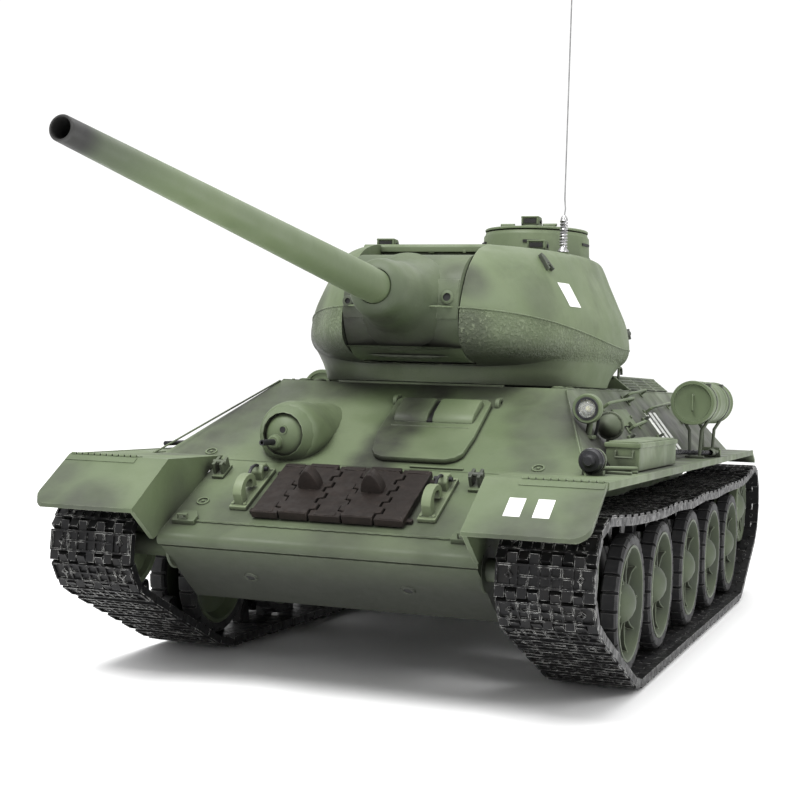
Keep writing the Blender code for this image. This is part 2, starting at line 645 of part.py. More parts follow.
def swing_arm(word, side, number, station):
    """A trailing arm: its pin turns in the hull side, its axle carries the wheel."""
    pivot = (side * (TUB_X + 3), aft(station - ARM_REACH), AXLE_Z + ARM_RISE)
    axle = (pivot[0], aft(station), AXLE_Z)
    lean = math.degrees(math.atan2(-ARM_RISE, ARM_REACH))
    outline = arc(pivot[1:], 4.8, lean + 90, lean + 270, 6) + arc(axle[1:], 4.8, lean - 90, lean + 90, 6)
    inner, outer = side * (TUB_X + GAP), side * (TUB_X + 5)
    name = f"arm_{word}_{number}"
    arm = prism(name, outline, "X", min(inner, outer), max(inner, outer), "dark_green", pivot)
    fuse(arm, rod(f"{name}_pin", "X", pivot, *sorted((side * -5.3, side * 0)), 1.8))
    fuse(arm, rod(f"{name}_axle", "X", axle, *sorted((side * 1, side * (84.2 - TUB_X - 3))), 2.0))
    return arm


def road_wheel(word, side, number, station):
    """Two dished discs with a groove between them for the track's guide horns."""
    deep = 1.8
    inner, outer = WHEEL_INNER_X, WHEEL_OUTER_X
    profile = [(outer + 1.0, 0), (outer + 1.0, 5.5), (outer - deep, 7.5), (outer - deep, 19.0),
               (outer, 20.2), (outer, WHEEL_R), (GROOVE[1], WHEEL_R), (GROOVE[1], 13.5), (GROOVE[0], 13.5),
               (GROOVE[0], WHEEL_R), (inner, WHEEL_R), (inner, 2.5), (84.7, 2.5), (84.7, 0)]
    centre = (0, aft(station), AXLE_Z)
    pivot = (side * 79, aft(station), AXLE_Z)
    name = f"wheel_{word}_{number}"
    return turned(name, [(side * x, r) for x, r in profile], "X", centre, "green", pivot, 20)


def end_wheel(kind, word, side, spot, radius, drum):
    """The idler or the sprocket, with its shaft through the hull side."""
    outer = WHEEL_OUTER_X - 1
    profile = [(outer + 1.5, 0), (outer + 1.5, 4.5), (outer - 1, 6), (outer - 1, radius - 3), (outer, radius),
               (GROOVE[1], radius), (GROOVE[1], drum), (GROOVE[0], drum), (GROOVE[0], radius),
               (71, radius), (71, 4), (62.0, 4), (62.0, 1.8), (TUB_X - 3, 1.8), (TUB_X - 3, 0)]
    centre = (0, aft(spot[0]), spot[1])
    pivot = (side * 79, aft(spot[0]), spot[1])
    return turned(f"{kind}_{word}", [(side * x, r) for x, r in profile], "X", centre, "green", pivot, 20)


def track_path(spread):
    """The track's loop, going round from under the idler; spread moves it outwards."""
    idler_r = IDLER_R + GAP + spread
    drive_r = SPROCKET_R + GAP + spread
    bottom = AXLE_Z - WHEEL_R - GAP - spread
    top = TOP_RUN_Z + spread
    loop = arc(IDLER, idler_r, 86, 247, 13)
    loop += [(-9.0, bottom), (20, bottom), (57.5, bottom), (90, bottom), (123.5, bottom), (182, bottom),
             (247.0, bottom)]
    loop += arc(SPROCKET, drive_r, -57, 106, 13)
    loop += [(246, top + 0.6), (222, top), (182, top), (152, top - 0.9), (123, top), (90, top - 1.2),
             (57, top), (28, top - 0.6), (0, top), (-24, top + 0.7)]
    return [(aft(s), z) for s, z in loop]


def track(word, side):
    """One closed band round the wheels of a side."""
    inner, outer = track_path(0.0), track_path(TRACK_THICKNESS)
    low, high = sorted(side * x for x in TRACK_X)
    work = bmesh.new()
    loops = []
    for x, path in ((low, outer), (high, outer), (high, inner), (low, inner)):
        loops.append([work.verts.new((x, y, z)) for y, z in path])
    for near, far in zip(loops, loops[1:] + loops[:1]):
        for k in range(len(near)):
            after = (k + 1) % len(near)
            work.faces.new((near[k], near[after], far[after], far[k]))
    return add_object(f"track_{word}", work, "black_track")


# ---------------------------------------------------------------- inside

def battery_pack():
    return block("battery_pack", (-23, aft(22), 29.3), (23, aft(108), 48), "cell_wrap")


def control_board():
    board = block("control_board", (-34, aft(122), 46), (34, aft(186), 48), "board")
    for k, (x, station) in enumerate(((-31, 125), (31, 125), (-31, 183), (31, 183))):
        post = block(f"board_post_{k}", (x - 2, aft(station) - 2, 29.0), (x + 2, aft(station) + 2, 47))
        fuse(board, post)
    return board


def gearbox(word, side):
    low, high = sorted((side * 8, side * 51))
    return block(f"gearbox_{word}", (low, aft(206), 29.3), (high, aft(258), 60), "black_plastic")


def speaker():
    profile = [(29.1, 0), (29.1, 15), (33, 15), (38, 9), (42, 9), (42, 0)]
    return turned("speaker", profile, "Z", (0, aft(-8), 0), "black_plastic", segments=24)


# ---------------------------------------------------------------- assembly

def build():
    for old in list(bpy.data.objects):
        bpy.data.objects.remove(old, do_unlink=True)
    lower_hull()
    battery_door()
    upper_hull()
    bow_gun()
    driver_hatch()
    for word, side in SIDES:
        tow_hook(word, side)
        exhaust(word, side)
        gearbox(word, side)
    spare_tracks()
    engine_deck()
    rear_hatch()
    fuel_drum("fuel_drum_left", LEFT, 130)
    fuel_drum("fuel_drum_right_front", RIGHT, 124)
    fuel_drum("fuel_drum_right_rear", RIGHT, 186)
    toolbox()
    headlight()
    headlight_lens()
    horn()
    turret_shell()
    mantlet()
    gun_barrel()
    cupola()
    cupola_hatch()
    loader_hatch()
    periscope("cupola_periscope", CUPOLA[0], CUPOLA[1] - 8, CUPOLA_TOP + 2 * GAP + 1.4)
    periscope("gunner_periscope", 33, 63, TURRET_ROOF + GAP)
    periscope("loader_periscope", -28, 56, TURRET_ROOF + GAP)
    antenna()
    battery_pack()
    control_board()
    speaker()
    for word, side in SIDES:
        for number, station in enumerate(AXLE_STATIONS, start=1):
            swing_arm(word, side, number, station)
            road_wheel(word, side, number, station)
        end_wheel("idler", word, side, IDLER, IDLER_R, 9)
        end_wheel("sprocket", word, side, SPROCKET, SPROCKET_R, 12)
        track(word, side)


build()
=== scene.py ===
"""The looks of the RC tank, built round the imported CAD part.

Lengths are in millimetres until Piece.done() turns them into metres. The tank faces -Y and its left
side is +X. A station is a distance behind the first road-wheel axle; aft() turns it into Y.
"""

import math

import bmesh
import bpy
from mathutils import Matrix, Vector


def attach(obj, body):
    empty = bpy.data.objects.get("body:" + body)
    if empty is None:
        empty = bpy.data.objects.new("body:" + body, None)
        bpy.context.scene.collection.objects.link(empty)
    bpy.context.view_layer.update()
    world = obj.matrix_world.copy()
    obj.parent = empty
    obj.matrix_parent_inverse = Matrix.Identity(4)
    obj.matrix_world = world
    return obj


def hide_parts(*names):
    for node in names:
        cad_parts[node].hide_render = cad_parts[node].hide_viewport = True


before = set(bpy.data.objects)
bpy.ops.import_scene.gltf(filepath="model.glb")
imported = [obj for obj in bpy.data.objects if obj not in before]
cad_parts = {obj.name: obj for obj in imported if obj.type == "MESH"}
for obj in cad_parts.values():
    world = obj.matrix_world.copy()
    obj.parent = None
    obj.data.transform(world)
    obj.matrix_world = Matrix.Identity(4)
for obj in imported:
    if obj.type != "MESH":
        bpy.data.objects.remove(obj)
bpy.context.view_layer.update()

MM = 0.001
IDENTITY = Matrix.Identity(4)
LEFT, RIGHT = 1, -1
SIDES = (("left", LEFT), ("right", RIGHT))

# The CAD part's driving dimensions
FIRST_AXLE_Y = -41.87
AXLE_STATIONS = (0.0, 57.5, 123.5, 182.0, 240.5)
AXLE_Z, WHEEL_R, WHEEL_X = 29.3, 24.0, 79.0
IDLER, IDLER_R = (-62.6, 45.0), 15.0
SPROCKET, SPROCKET_R = (283.5, 44.2), 18.2
TRACK_X = (62.5, 93.5)
TOP_RUN_Z = 57.2
GAP = 0.3
FENDER_TOP, FENDER_OUTER_X = 74.6, 93.75
TUB_X, BELLY_Z = 55.0, 26.5
ROOF_Z, ROOF_HALF, SPONSON_HALF = 102.6, 57.0, 79.0
GLACIS_FOOT, GLACIS_TOP_STATION = (-78.0, 49.1), 21.4
REAR_FOOT = (290.0, 60.0)
RING_STATION, COLLAR_R = 79.4, 57.7
TURRET_FOOT, TURRET_ROOF = 103.2, 156.5
TRUNNION, GUN_ELEVATION, MUZZLE_REACH = (17.0, 131.0), 6.2, 241.2
MANTLET_R, MANTLET_HALF = 20.0, 22.3
CUPOLA, CUPOLA_R, CUPOLA_TOP, CUPOLA_LID_R = (22.0, 100.0), 22.7, 167.4, 20.6
LOADER, LOADER_LID_R = (-23.0, 84.0), 13.0
ANTENNA, ANTENNA_TIP_Z = (42.5, 66.0), 262.0
BOW_GUN = (-30.5, -25.5, 83.3)
DRUM_X, DRUM_Z, DRUM_R, DRUM_LENGTH = 85.0, 98.6, 8.9, 56.0
DRUMS = (("left", LEFT, 130.0), ("right_front", RIGHT, 124.0), ("right_rear", RIGHT, 186.0))
HEADLIGHT = (70.0, 1.0, 95.9)
HORN = (74.0, 19.0, 89.8)

GLACIS_SLOPE = math.atan2(ROOF_Z - GLACIS_FOOT[1], GLACIS_TOP_STATION - GLACIS_FOOT[0])


def aft(station):
    """Y of a station."""
    return FIRST_AXLE_Y + station


def spot(x, station, z):
    return Vector((x, aft(station), z))


def glacis_z(station):
    return GLACIS_FOOT[1] + (station - GLACIS_FOOT[0]) * math.tan(GLACIS_SLOPE)


# Coordinates on the glacis: across, up the slope, out of the plate.
ON_GLACIS = Matrix.Translation(spot(0, *GLACIS_FOOT)) @ Matrix.Rotation(GLACIS_SLOPE, 4, "X")
# Coordinates about the trunnion, with the muzzle along -Y.
ON_GUN = Matrix.Translation(spot(0, *TRUNNION)) @ Matrix.Rotation(math.radians(-GUN_ELEVATION), 4, "X")
SIDE_LEAN = math.atan2(SPONSON_HALF - ROOF_HALF, ROOF_Z - FENDER_TOP)


def on_side(side):
    """Coordinates on a sloped hull side: forward-to-aft station, up the plate, out of it."""
    up = Vector((-side * math.sin(SIDE_LEAN), 0, math.cos(SIDE_LEAN)))
    out = Vector((side * math.cos(SIDE_LEAN), 0, math.sin(SIDE_LEAN)))
    facing = Matrix((Vector((0, 1, 0)), up, out)).transposed().to_4x4()
    return Matrix.Translation(Vector((side * SPONSON_HALF, aft(0), FENDER_TOP))) @ facing


# Coordinates on the rear plate: across, up the slope, out of the plate.
ON_REAR = Matrix.Translation(spot(0, *REAR_FOOT)) @ Matrix.Rotation(math.radians(-45), 4, "X") @ Matrix(
    ((1, 0, 0, 0), (0, -1, 0, 0), (0, 0, 1, 0), (0, 0, 0, 1)))


# ---------------------------------------------------------------- camera, floor and lights

CAMERA_AT = Vector((0.1906, -0.55107, 0.1016))
CAMERA_AZIMUTH, CAMERA_ELEVATION, CAMERA_ROLL = 20.49, 0.54, 1.92
LENS = 67.0


def aim(azimuth, elevation, roll=0.0):
    """The turn of a camera or light that looks back along that direction, in degrees."""
    a, e = math.radians(azimuth), math.radians(elevation)
    back = Vector((math.sin(a) * math.cos(e), -math.cos(a) * math.cos(e), math.sin(e)))
    right = Vector((0, 0, 1)).cross(back).normalized()
    up = back.cross(right)
    return Matrix((right, up, back)).transposed() @ Matrix.Rotation(math.radians(roll), 3, "Z")


def add_camera():
    data = bpy.data.cameras.new("photo_view")
    data.lens = LENS
    data.sensor_width = 36.0
    data.clip_start = 0.01
    data.clip_end = 50.0
    camera = bpy.data.objects.new("photo_view", data)
    facing = aim(CAMERA_AZIMUTH, CAMERA_ELEVATION, CAMERA_ROLL)
    camera.matrix_world = Matrix.Translation(CAMERA_AT) @ facing.to_4x4()
    bpy.context.scene.collection.objects.link(camera)
    bpy.context.scene.camera = camera


def area_light(name, azimuth, elevation, distance, size, power):
    data = bpy.data.lights.new(name, "AREA")
    data.shape = "DISK"
    data.size = size
    data.energy = power
    light = bpy.data.objects.new(name, data)
    facing = aim(azimuth, elevation)
    light.matrix_world = Matrix.Translation(facing @ Vector((0, 0, distance))) @ facing.to_4x4()
    bpy.context.scene.collection.objects.link(light)


def studio():
    scene = bpy.context.scene
    scene.view_settings.view_transform = "Standard"
    world = bpy.data.worlds.new("studio")
    world.use_nodes = True
    world.node_tree.nodes["Background"].inputs["Color"].default_value = (1, 1, 1, 1)
    world.node_tree.nodes["Background"].inputs["Strength"].default_value = 1.08
    scene.world = world
    area_light("key", -20, 62, 1.6, 0.8, 24)
    area_light("side", 70, 35, 1.8, 0.7, 9)
    area_light("back", 160, 60, 1.8, 1.2, 9)
    work = bmesh.new()
    reach = 6.0
    work.faces.new([work.verts.new((x * reach, y * reach, -0.0002))
                    for x, y in ((-1, -1), (1, -1), (1, 1), (-1, 1))])
    mesh = bpy.data.meshes.new("floor")
    work.to_mesh(mesh)
    work.free()
    floor = bpy.data.objects.new("floor", mesh)
    paper = Finish("pale_paper", (0.94, 0.94, 0.94), 0.7)
    mesh.materials.append(paper.made)
    bpy.context.scene.collection.objects.link(floor)


# ---------------------------------------------------------------- materials

class Finish:
    """A node material, added to step by step. Lengths given to it are in millimetres."""

    def __init__(self, name, colour, roughness, metallic=0.0):
        self.made = bpy.data.materials.new(name)
        self.made.use_nodes = True
        self.tree = self.made.node_tree
        self.shader = self.tree.nodes["Principled BSDF"]
        self.shader.inputs["Metallic"].default_value = metallic
        self.shader.inputs["Roughness"].default_value = roughness
        self.shader.inputs["Base Color"].default_value = (*colour, 1)
        self.made.diffuse_color = (*colour, 1)
        self.place = self.node("ShaderNodeTexCoord").outputs["Object"]
        self.colour = self.constant(colour)
        self.bumps = None

    def node(self, kind, **settings):
        made = self.tree.nodes.new(kind)
        for key, value in settings.items():
            setattr(made, key, value)
        return made

    def link(self, source, target):
        self.tree.links.new(source, target)

    def constant(self, colour):
        made = self.node("ShaderNodeRGB")
        made.outputs[0].default_value = (*colour, 1)
        return made.outputs[0]

    def math(self, operation, first, second=0.0, clamp=False):
        made = self.node("ShaderNodeMath", operation=operation, use_clamp=clamp)
        for socket, value in zip(made.inputs, (first, second)):
            if isinstance(value, (int, float)):
                socket.default_value = value
            else:
                self.link(value, socket)
        return made.outputs[0]

    def ramp(self, value, low, high, to_low=0.0, to_high=1.0):
        """Maps low..high smoothly onto to_low..to_high."""
        made = self.node("ShaderNodeMapRange", interpolation_type="SMOOTHSTEP")
        self.link(value, made.inputs["Value"])
        for word, number in (("From Min", low), ("From Max", high), ("To Min", to_low), ("To Max", to_high)):
            made.inputs[word].default_value = number
        return made.outputs["Result"]

    def noise(self, size, detail=3.0, roughness=0.5, stretch=None, warp=0.0):
        """Noise from 0 to 1 whose blotches are about that many millimetres across."""
        made = self.node("ShaderNodeTexNoise")
        made.inputs["Scale"].default_value = 1000.0 / size
        made.inputs["Detail"].default_value = detail
        made.inputs["Roughness"].default_value = roughness
        made.inputs["Distortion"].default_value = warp
        place = self.place
        if stretch:
            mapping = self.node("ShaderNodeMapping")
            mapping.inputs["Scale"].default_value = stretch
            self.link(place, mapping.inputs["Vector"])
            place = mapping.outputs[0]
        self.link(place, made.inputs["Vector"])
        return made.outputs["Fac"]

    def axis(self, letter):
        made = self.node("ShaderNodeSeparateXYZ")
        self.link(self.place, made.inputs[0])
        return made.outputs[letter]

    def near(self, points):
        """1 at each (X, station, Z, radius, strength) spot, fading to 0 at its radius."""
        total = None
        for x, station, z, radius, strength in points:
            far = self.node("ShaderNodeVectorMath", operation="DISTANCE")
            self.link(self.place, far.inputs[0])
            far.inputs[1].default_value = spot(x, station, z) * MM
            here = self.ramp(far.outputs["Value"], 0.3 * radius * MM, radius * MM, strength, 0.0)
            total = here if total is None else self.math("MAXIMUM", total, here)
        return total

    def hidden(self, reach):
        """0 in the open, 1 deep in a corner."""
        made = self.node("ShaderNodeAmbientOcclusion", samples=8)
        made.inputs["Distance"].default_value = reach * MM
        return self.math("SUBTRACT", 1.0, made.outputs["AO"])

    def edges(self, width):
        """1 along edges."""
        rounded = self.node("ShaderNodeBevel", samples=6)
        rounded.inputs["Radius"].default_value = width * MM
        true = self.node("ShaderNodeNewGeometry")
        dot = self.node("ShaderNodeVectorMath", operation="DOT_PRODUCT")
        self.link(rounded.outputs["Normal"], dot.inputs[0])
        self.link(true.outputs["Normal"], dot.inputs[1])
        return self.ramp(dot.outputs["Value"], 0.97, 0.80)

    def tint(self, mask, colour, strength=1.0):
        """Mixes a colour in where the mask says."""
        mix = self.node("ShaderNodeMix", data_type="RGBA")
        self.link(self.math("MULTIPLY", mask, strength, clamp=True), mix.inputs["Factor"])
        self.link(self.colour, mix.inputs["A"])
        mix.inputs["B"].default_value = (*colour, 1)
        self.colour = mix.outputs["Result"]
        return self

    def bump(self, height, depth, mask=None):
        """Adds a bump of about that depth in millimetres."""
        if mask is not None:
            height = self.math("MULTIPLY", height, mask)
        made = self.node("ShaderNodeBump")
        made.inputs["Distance"].default_value = depth * MM
        made.inputs["Strength"].default_value = 1.0
        self.link(height, made.inputs["Height"])
        if self.bumps is not None:
            self.link(self.bumps, made.inputs["Normal"])
        self.bumps = made.outputs["Normal"]
        return self

    def vary(self, socket, value):
        self.link(value, self.shader.inputs[socket])
        return self

    def done(self):
        self.link(self.colour, self.shader.inputs["Base Color"])
        if self.bumps is not None:
            self.link(self.bumps, self.shader.inputs["Normal"])
        return self.made


GREEN = (0.080, 0.108, 0.052)
PALE_GREEN = (0.128, 0.160, 0.086)
DEEP_GREEN = (0.034, 0.047, 0.023)
UMBER = (0.022, 0.023, 0.017)
# Black for the soot at the muzzle, and for painted shade in corners and under the turret cheeks.
SOOT_AND_SHADE_BLACK = (0.012, 0.012, 0.011)
SILVER = (0.50, 0.50, 0.48)


def green_paint(name, shades=(), edge=0.35, grain=0.03, base=GREEN, wash_and_corner_shade=0.9, cast=None,
                low=None):
    """Matt green. Shades are the dark spots, partly airbrushed shading and partly painted shade; cast adds a
    rough casting; low darkens towards the bottom as painted shade; corners get painted shade.
    """
    paint = Finish(name, base, 0.62)
    paint.tint(paint.ramp(paint.noise(46, 3), 0.42, 0.66), PALE_GREEN, 0.45)
    paint.tint(paint.ramp(paint.noise(24, 4, 0.6, warp=0.4), 0.52, 0.72), DEEP_GREEN, 0.35)
    paint.tint(paint.ramp(paint.noise(5, 5, 0.7), 0.55, 0.75), DEEP_GREEN, 0.16)
    # Dark spots: partly airbrushed shading, partly painted shade.
    if shades:
        cloud = paint.math("ADD", paint.ramp(paint.noise(9, 4, 0.6), 0.25, 0.75, 0.72, 1.12), 0.0)
        paint.tint(paint.math("MULTIPLY", paint.near(shades), cloud), UMBER, 0.95)
    if cast:
        cast(paint)
    # Painted shade: darker towards the bottom.
    if low:
        top, bottom, strength = low
        paint.tint(paint.ramp(paint.axis("Z"), top * MM, bottom * MM), (0.012, 0.014, 0.009), strength)
    # Painted shade in corners and recesses, also standing for a washed-in dark tone.
    paint.tint(paint.ramp(paint.hidden(14), 0.25, 0.80), UMBER, wash_and_corner_shade)
    rubbed = paint.math("MULTIPLY", paint.edges(0.5), paint.ramp(paint.noise(3.5, 4), 0.38, 0.62))
    paint.tint(rubbed, (0.26, 0.30, 0.21), edge)
    paint.bump(paint.noise(0.9, 3, 0.6), grain)
    paint.vary("Roughness", paint.ramp(paint.noise(12, 4), 0.3, 0.7, 0.50, 0.72))
    return paint.done()


# ---------------------------------------------------------------- mesh kit

def box(low, high):
    work = bmesh.new()
    bmesh.ops.create_cube(work, size=1)
    for vert in work.verts:
        for k in range(3):
            vert.co[k] = high[k] if vert.co[k] > 0 else low[k]
    return work


def prism(outline, axis, low, high):
    """Extrudes an outline along X, Y or Z; the outline holds the other two coordinates in order."""
    def place(point, depth):
        corner = list(point)
        corner.insert("XYZ".index(axis), depth)
        return corner
    work = bmesh.new()
    near = [work.verts.new(place(point, low)) for point in outline]
    far = [work.verts.new(place(point, high)) for point in outline]
    work.faces.new(near)
    work.faces.new(far[::-1])
    for k in range(len(outline)):
        after = (k + 1) % len(outline)
        work.faces.new((near[after], near[k], far[k], far[after]))
    return work


def joined(loops, closed=False, caps=True):
    """A skin over rings of equal point counts; a ring of one point closes that end."""
    work = bmesh.new()
    rings = [[work.verts.new(point) for point in loop] for loop in loops]
    pairs = list(zip(rings, rings[1:] + rings[:1])) if closed else list(zip(rings, rings[1:]))
    for near, far in pairs:
        count = max(len(near), len(far))
        for k in range(count):
            after = (k + 1) % count
            if len(near) == 1:
                work.faces.new((near[0], far[after], far[k]))
            elif len(far) == 1:
                work.faces.new((near[k], near[after], far[0]))
            else:
                work.faces.new((near[k], near[after], far[after], far[k]))
    if caps and not closed:
        for ring in (rings[0][::-1], rings[-1]):
            if len(ring) > 2:
                work.faces.new(ring)
    return work


def turned(profile, axis="Z", centre=(0, 0, 0), segments=32):
    """Revolves (distance along the axis, radius) points. A profile that starts and ends off the
    axis closes into a ring."""
    first, second = {"X": (1, 2), "Y": (2, 0), "Z": (0, 1)}[axis]
    loops = []
    for along, radius in profile:
        loop = []
        for k in range(segments if radius > 0 else 1):
            angle = 2 * math.pi * k / segments
            point = Vector(centre)
            point["XYZ".index(axis)] += along
            point[first] += radius * math.cos(angle)
            point[second] += radius * math.sin(angle)
            loop.append(point)
        loops.append(loop)
    ring = profile[0][1] > 0 and profile[-1][1] > 0
    return joined(loops, closed=ring, caps=False)


def disc(axis, centre, start, end, radius, segments=20):
    return turned([(start, 0), (start, radius), (end, radius), (end, 0)], axis, centre, segments)


def smooth_line(points, steps=6, closed=False):
    """A smooth curve through the points."""
    points = [Vector(point) for point in points]
    count = len(points)
    line = []
    for k in range(count if closed else count - 1):
        around = []
        for shift in (-1, 0, 1, 2):
            index = (k + shift) % count if closed else min(max(k + shift, 0), count - 1)
            around.append(points[index])
        a, b, c, d = around
        for step in range(steps):
            t = step / steps
            line.append(0.5 * ((2 * b) + (c - a) * t + (2 * a - 5 * b + 4 * c - d) * t * t
                               + (3 * b - a - 3 * c + d) * t ** 3))
    if not closed:
        line.append(points[-1])
    return line


def tube(points, radius, sides=10, closed=False):
    """A round bar along a line of points."""
    points = [Vector(point) for point in points]
    loops = []
    across = None
    for k, point in enumerate(points):
        before = points[k - 1] if k or closed else point
        after = points[(k + 1) % len(points)] if k + 1 < len(points) or closed else point
        along = (after - before).normalized()
        if across is None:
            across = along.orthogonal().normalized()
        across = (across - along * across.dot(along)).normalized()
        other = along.cross(across)
        size = radius[k] if isinstance(radius, (list, tuple)) else radius
        loops.append([point + size * (math.cos(a) * across + math.sin(a) * other)
                      for a in (2 * math.pi * n / sides for n in range(sides))])
    return joined(loops, closed=closed)


def arc(centre, radius, start, end, steps):
    """Points on an arc, angles in degrees."""
    angles = [math.radians(start + (end - start) * k / steps) for k in range(steps + 1)]
    return [(centre[0] + radius * math.cos(a), centre[1] + radius * math.sin(a)) for a in angles]


def move(x=0.0, y=0.0, z=0.0):
    return Matrix.Translation((x, y, z))


def turn(axis, degrees):
    return Matrix.Rotation(math.radians(degrees), 4, axis)


class Piece:
    """One visible object, gathered from parts in millimetres, each with its own place and paint."""

    def __init__(self, *materials):
        self.materials = materials
        self.work = bmesh.new()

    def add(self, part, at=IDENTITY, paint=0, bevel=0.0, segments=2, keep=False):
        if keep:
            part = part.copy()
        bmesh.ops.recalc_face_normals(part, faces=part.faces)
        if bevel:
            sharp = [edge for edge in part.edges
                     if len(edge.link_faces) == 2 and edge.calc_face_angle() > math.radians(28)]
            bmesh.ops.bevel(part, geom=sharp, offset=bevel, segments=segments, profile=0.5,
                            affect="EDGES", clamp_overlap=True)
        for face in part.faces:
            face.material_index = paint
            face.smooth = True
        bmesh.ops.transform(part, matrix=at, verts=part.verts)
        if at.determinant() < 0:
            bmesh.ops.reverse_faces(part, faces=part.faces)
        mesh = bpy.data.meshes.new("part")
        part.to_mesh(mesh)
        part.free()
        self.work.from_mesh(mesh)
        bpy.data.meshes.remove(mesh)
        return self

    def done(self, name, body, slot, replaces=(), centre=(0, 0, 0), crease=38):
        """Makes the object, which rides on a body and may stand for CAD nodes."""
        bmesh.ops.transform(self.work, matrix=Matrix.Scale(MM, 4), verts=self.work.verts)
        mesh = bpy.data.meshes.new(name)
        self.work.to_mesh(mesh)
        self.work.free()
        for material in self.materials:
            mesh.materials.append(material)
        mesh.set_sharp_from_angle(angle=math.radians(crease))
        return show(name, mesh, body, replaces, centre)


def show(name, mesh, body, replaces=(), centre=(0, 0, 0), twist=IDENTITY):
    """An object of a mesh, at a place in millimetres."""
    made = bpy.data.objects.new(name, mesh)
    made.matrix_world = Matrix.Translation(Vector(centre) * MM) @ twist
    bpy.context.scene.collection.objects.link(made)
    normals = made.modifiers.new("normals", "WEIGHTED_NORMAL")
    normals.keep_sharp = True
    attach(made, body)
    if replaces:
        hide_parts(*replaces)
    return made


def carve(obj, *cutters):
    """Cuts parts in millimetres out of an object's mesh."""
    for part in cutters:
        bmesh.ops.recalc_face_normals(part, faces=part.faces)
        bmesh.ops.transform(part, matrix=Matrix.Scale(MM, 4), verts=part.verts)
        mesh = bpy.data.meshes.new("cutter")
        part.to_mesh(mesh)
        part.free()
        cutter = bpy.data.objects.new("cutter", mesh)
        bpy.context.scene.collection.objects.link(cutter)
        step = obj.modifiers.new("cut", "BOOLEAN")
        step.operation = "DIFFERENCE"
        step.solver = "EXACT"
        step.object = cutter
        bpy.context.view_layer.update()
        cut = bpy.data.meshes.new_from_object(obj.evaluated_get(bpy.context.evaluated_depsgraph_get()))
        obj.modifiers.clear()
        old, obj.data = obj.data, cut
        cut.name = obj.name
        bpy.data.meshes.remove(old)
        bpy.data.objects.remove(cutter)
        bpy.data.meshes.remove(mesh)
    for face in obj.data.polygons:
        face.use_smooth = True
    obj.data.set_sharp_from_angle(angle=math.radians(38))
    return obj


def round_edges(name, width):
    """Softens a CAD node's sharp edges."""
    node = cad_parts[name]
    weld = node.modifiers.new("weld", "WELD")
    weld.merge_threshold = 0.01 * MM
    flat = node.modifiers.new("flat", "DECIMATE")
    flat.decimate_type = "DISSOLVE"
    flat.angle_limit = math.radians(0.8)
    bevel = node.modifiers.new("bevel", "BEVEL")
    bevel.width = width * MM
    bevel.segments = 2
    bevel.limit_method = "ANGLE"
    bevel.angle_limit = math.radians(30)
    node.modifiers.new("normals", "WEIGHTED_NORMAL")


def hexagon(at_part, radius, height):
    """A bolt head."""
    return turned([(0, 0), (0, radius), (height * 0.8, radius), (height, radius * 0.85), (height, 0)],
                  "Z", at_part, 6)


def rough_casting(paint):
    """Coarse cast texture below the seam of the turret shell, with painted highlight and shade on its grain,
    and painted shadow under the cheeks.
    """
    height, station_y = paint.axis("Z"), paint.axis("Y")
    seam = paint.ramp(station_y, aft(-5) * MM, aft(95) * MM, 130.5 * MM, 119.6 * MM)
    low = paint.ramp(paint.math("SUBTRACT", seam, height), -0.4 * MM, 0.6 * MM)
    low = paint.math("MULTIPLY", low, paint.ramp(height, 112.6 * MM, 114.6 * MM))
    coarse = paint.noise(1.1, 3, 0.6)
    paint.bump(paint.ramp(coarse, 0.38, 0.64), 0.34, low)
    # Pale on the raised grain and darker in its pits: painted highlight and painted shade on the casting's
    # relief.
    paint.tint(paint.math("MULTIPLY", low, paint.ramp(coarse, 0.48, 0.34)), DEEP_GREEN, 0.3)
    paint.tint(paint.math("MULTIPLY", low, paint.ramp(coarse, 0.52, 0.70)), (0.20, 0.235, 0.15), 0.45)
    # Painted shadow under the overhanging cheeks, towards the front.
    under = paint.math("MULTIPLY", paint.ramp(height, 124 * MM, 112 * MM),
                       paint.ramp(height, 108 * MM, 111 * MM))
    forward = paint.ramp(station_y, aft(60) * MM, aft(20) * MM)
    paint.tint(paint.math("MULTIPLY", under, forward), SOOT_AND_SHADE_BLACK, 0.72)
    grey = paint.ramp(paint.noise(14, 3), 0.35, 0.7)
    paint.tint(paint.math("MULTIPLY", low, grey), UMBER, 0.12)


def on_plate(across, up, radius, strength):
    """A shade at a place on the glacis."""
    station = GLACIS_FOOT[0] + up * math.cos(GLACIS_SLOPE)
    return (across, station, glacis_z(station), radius, strength)


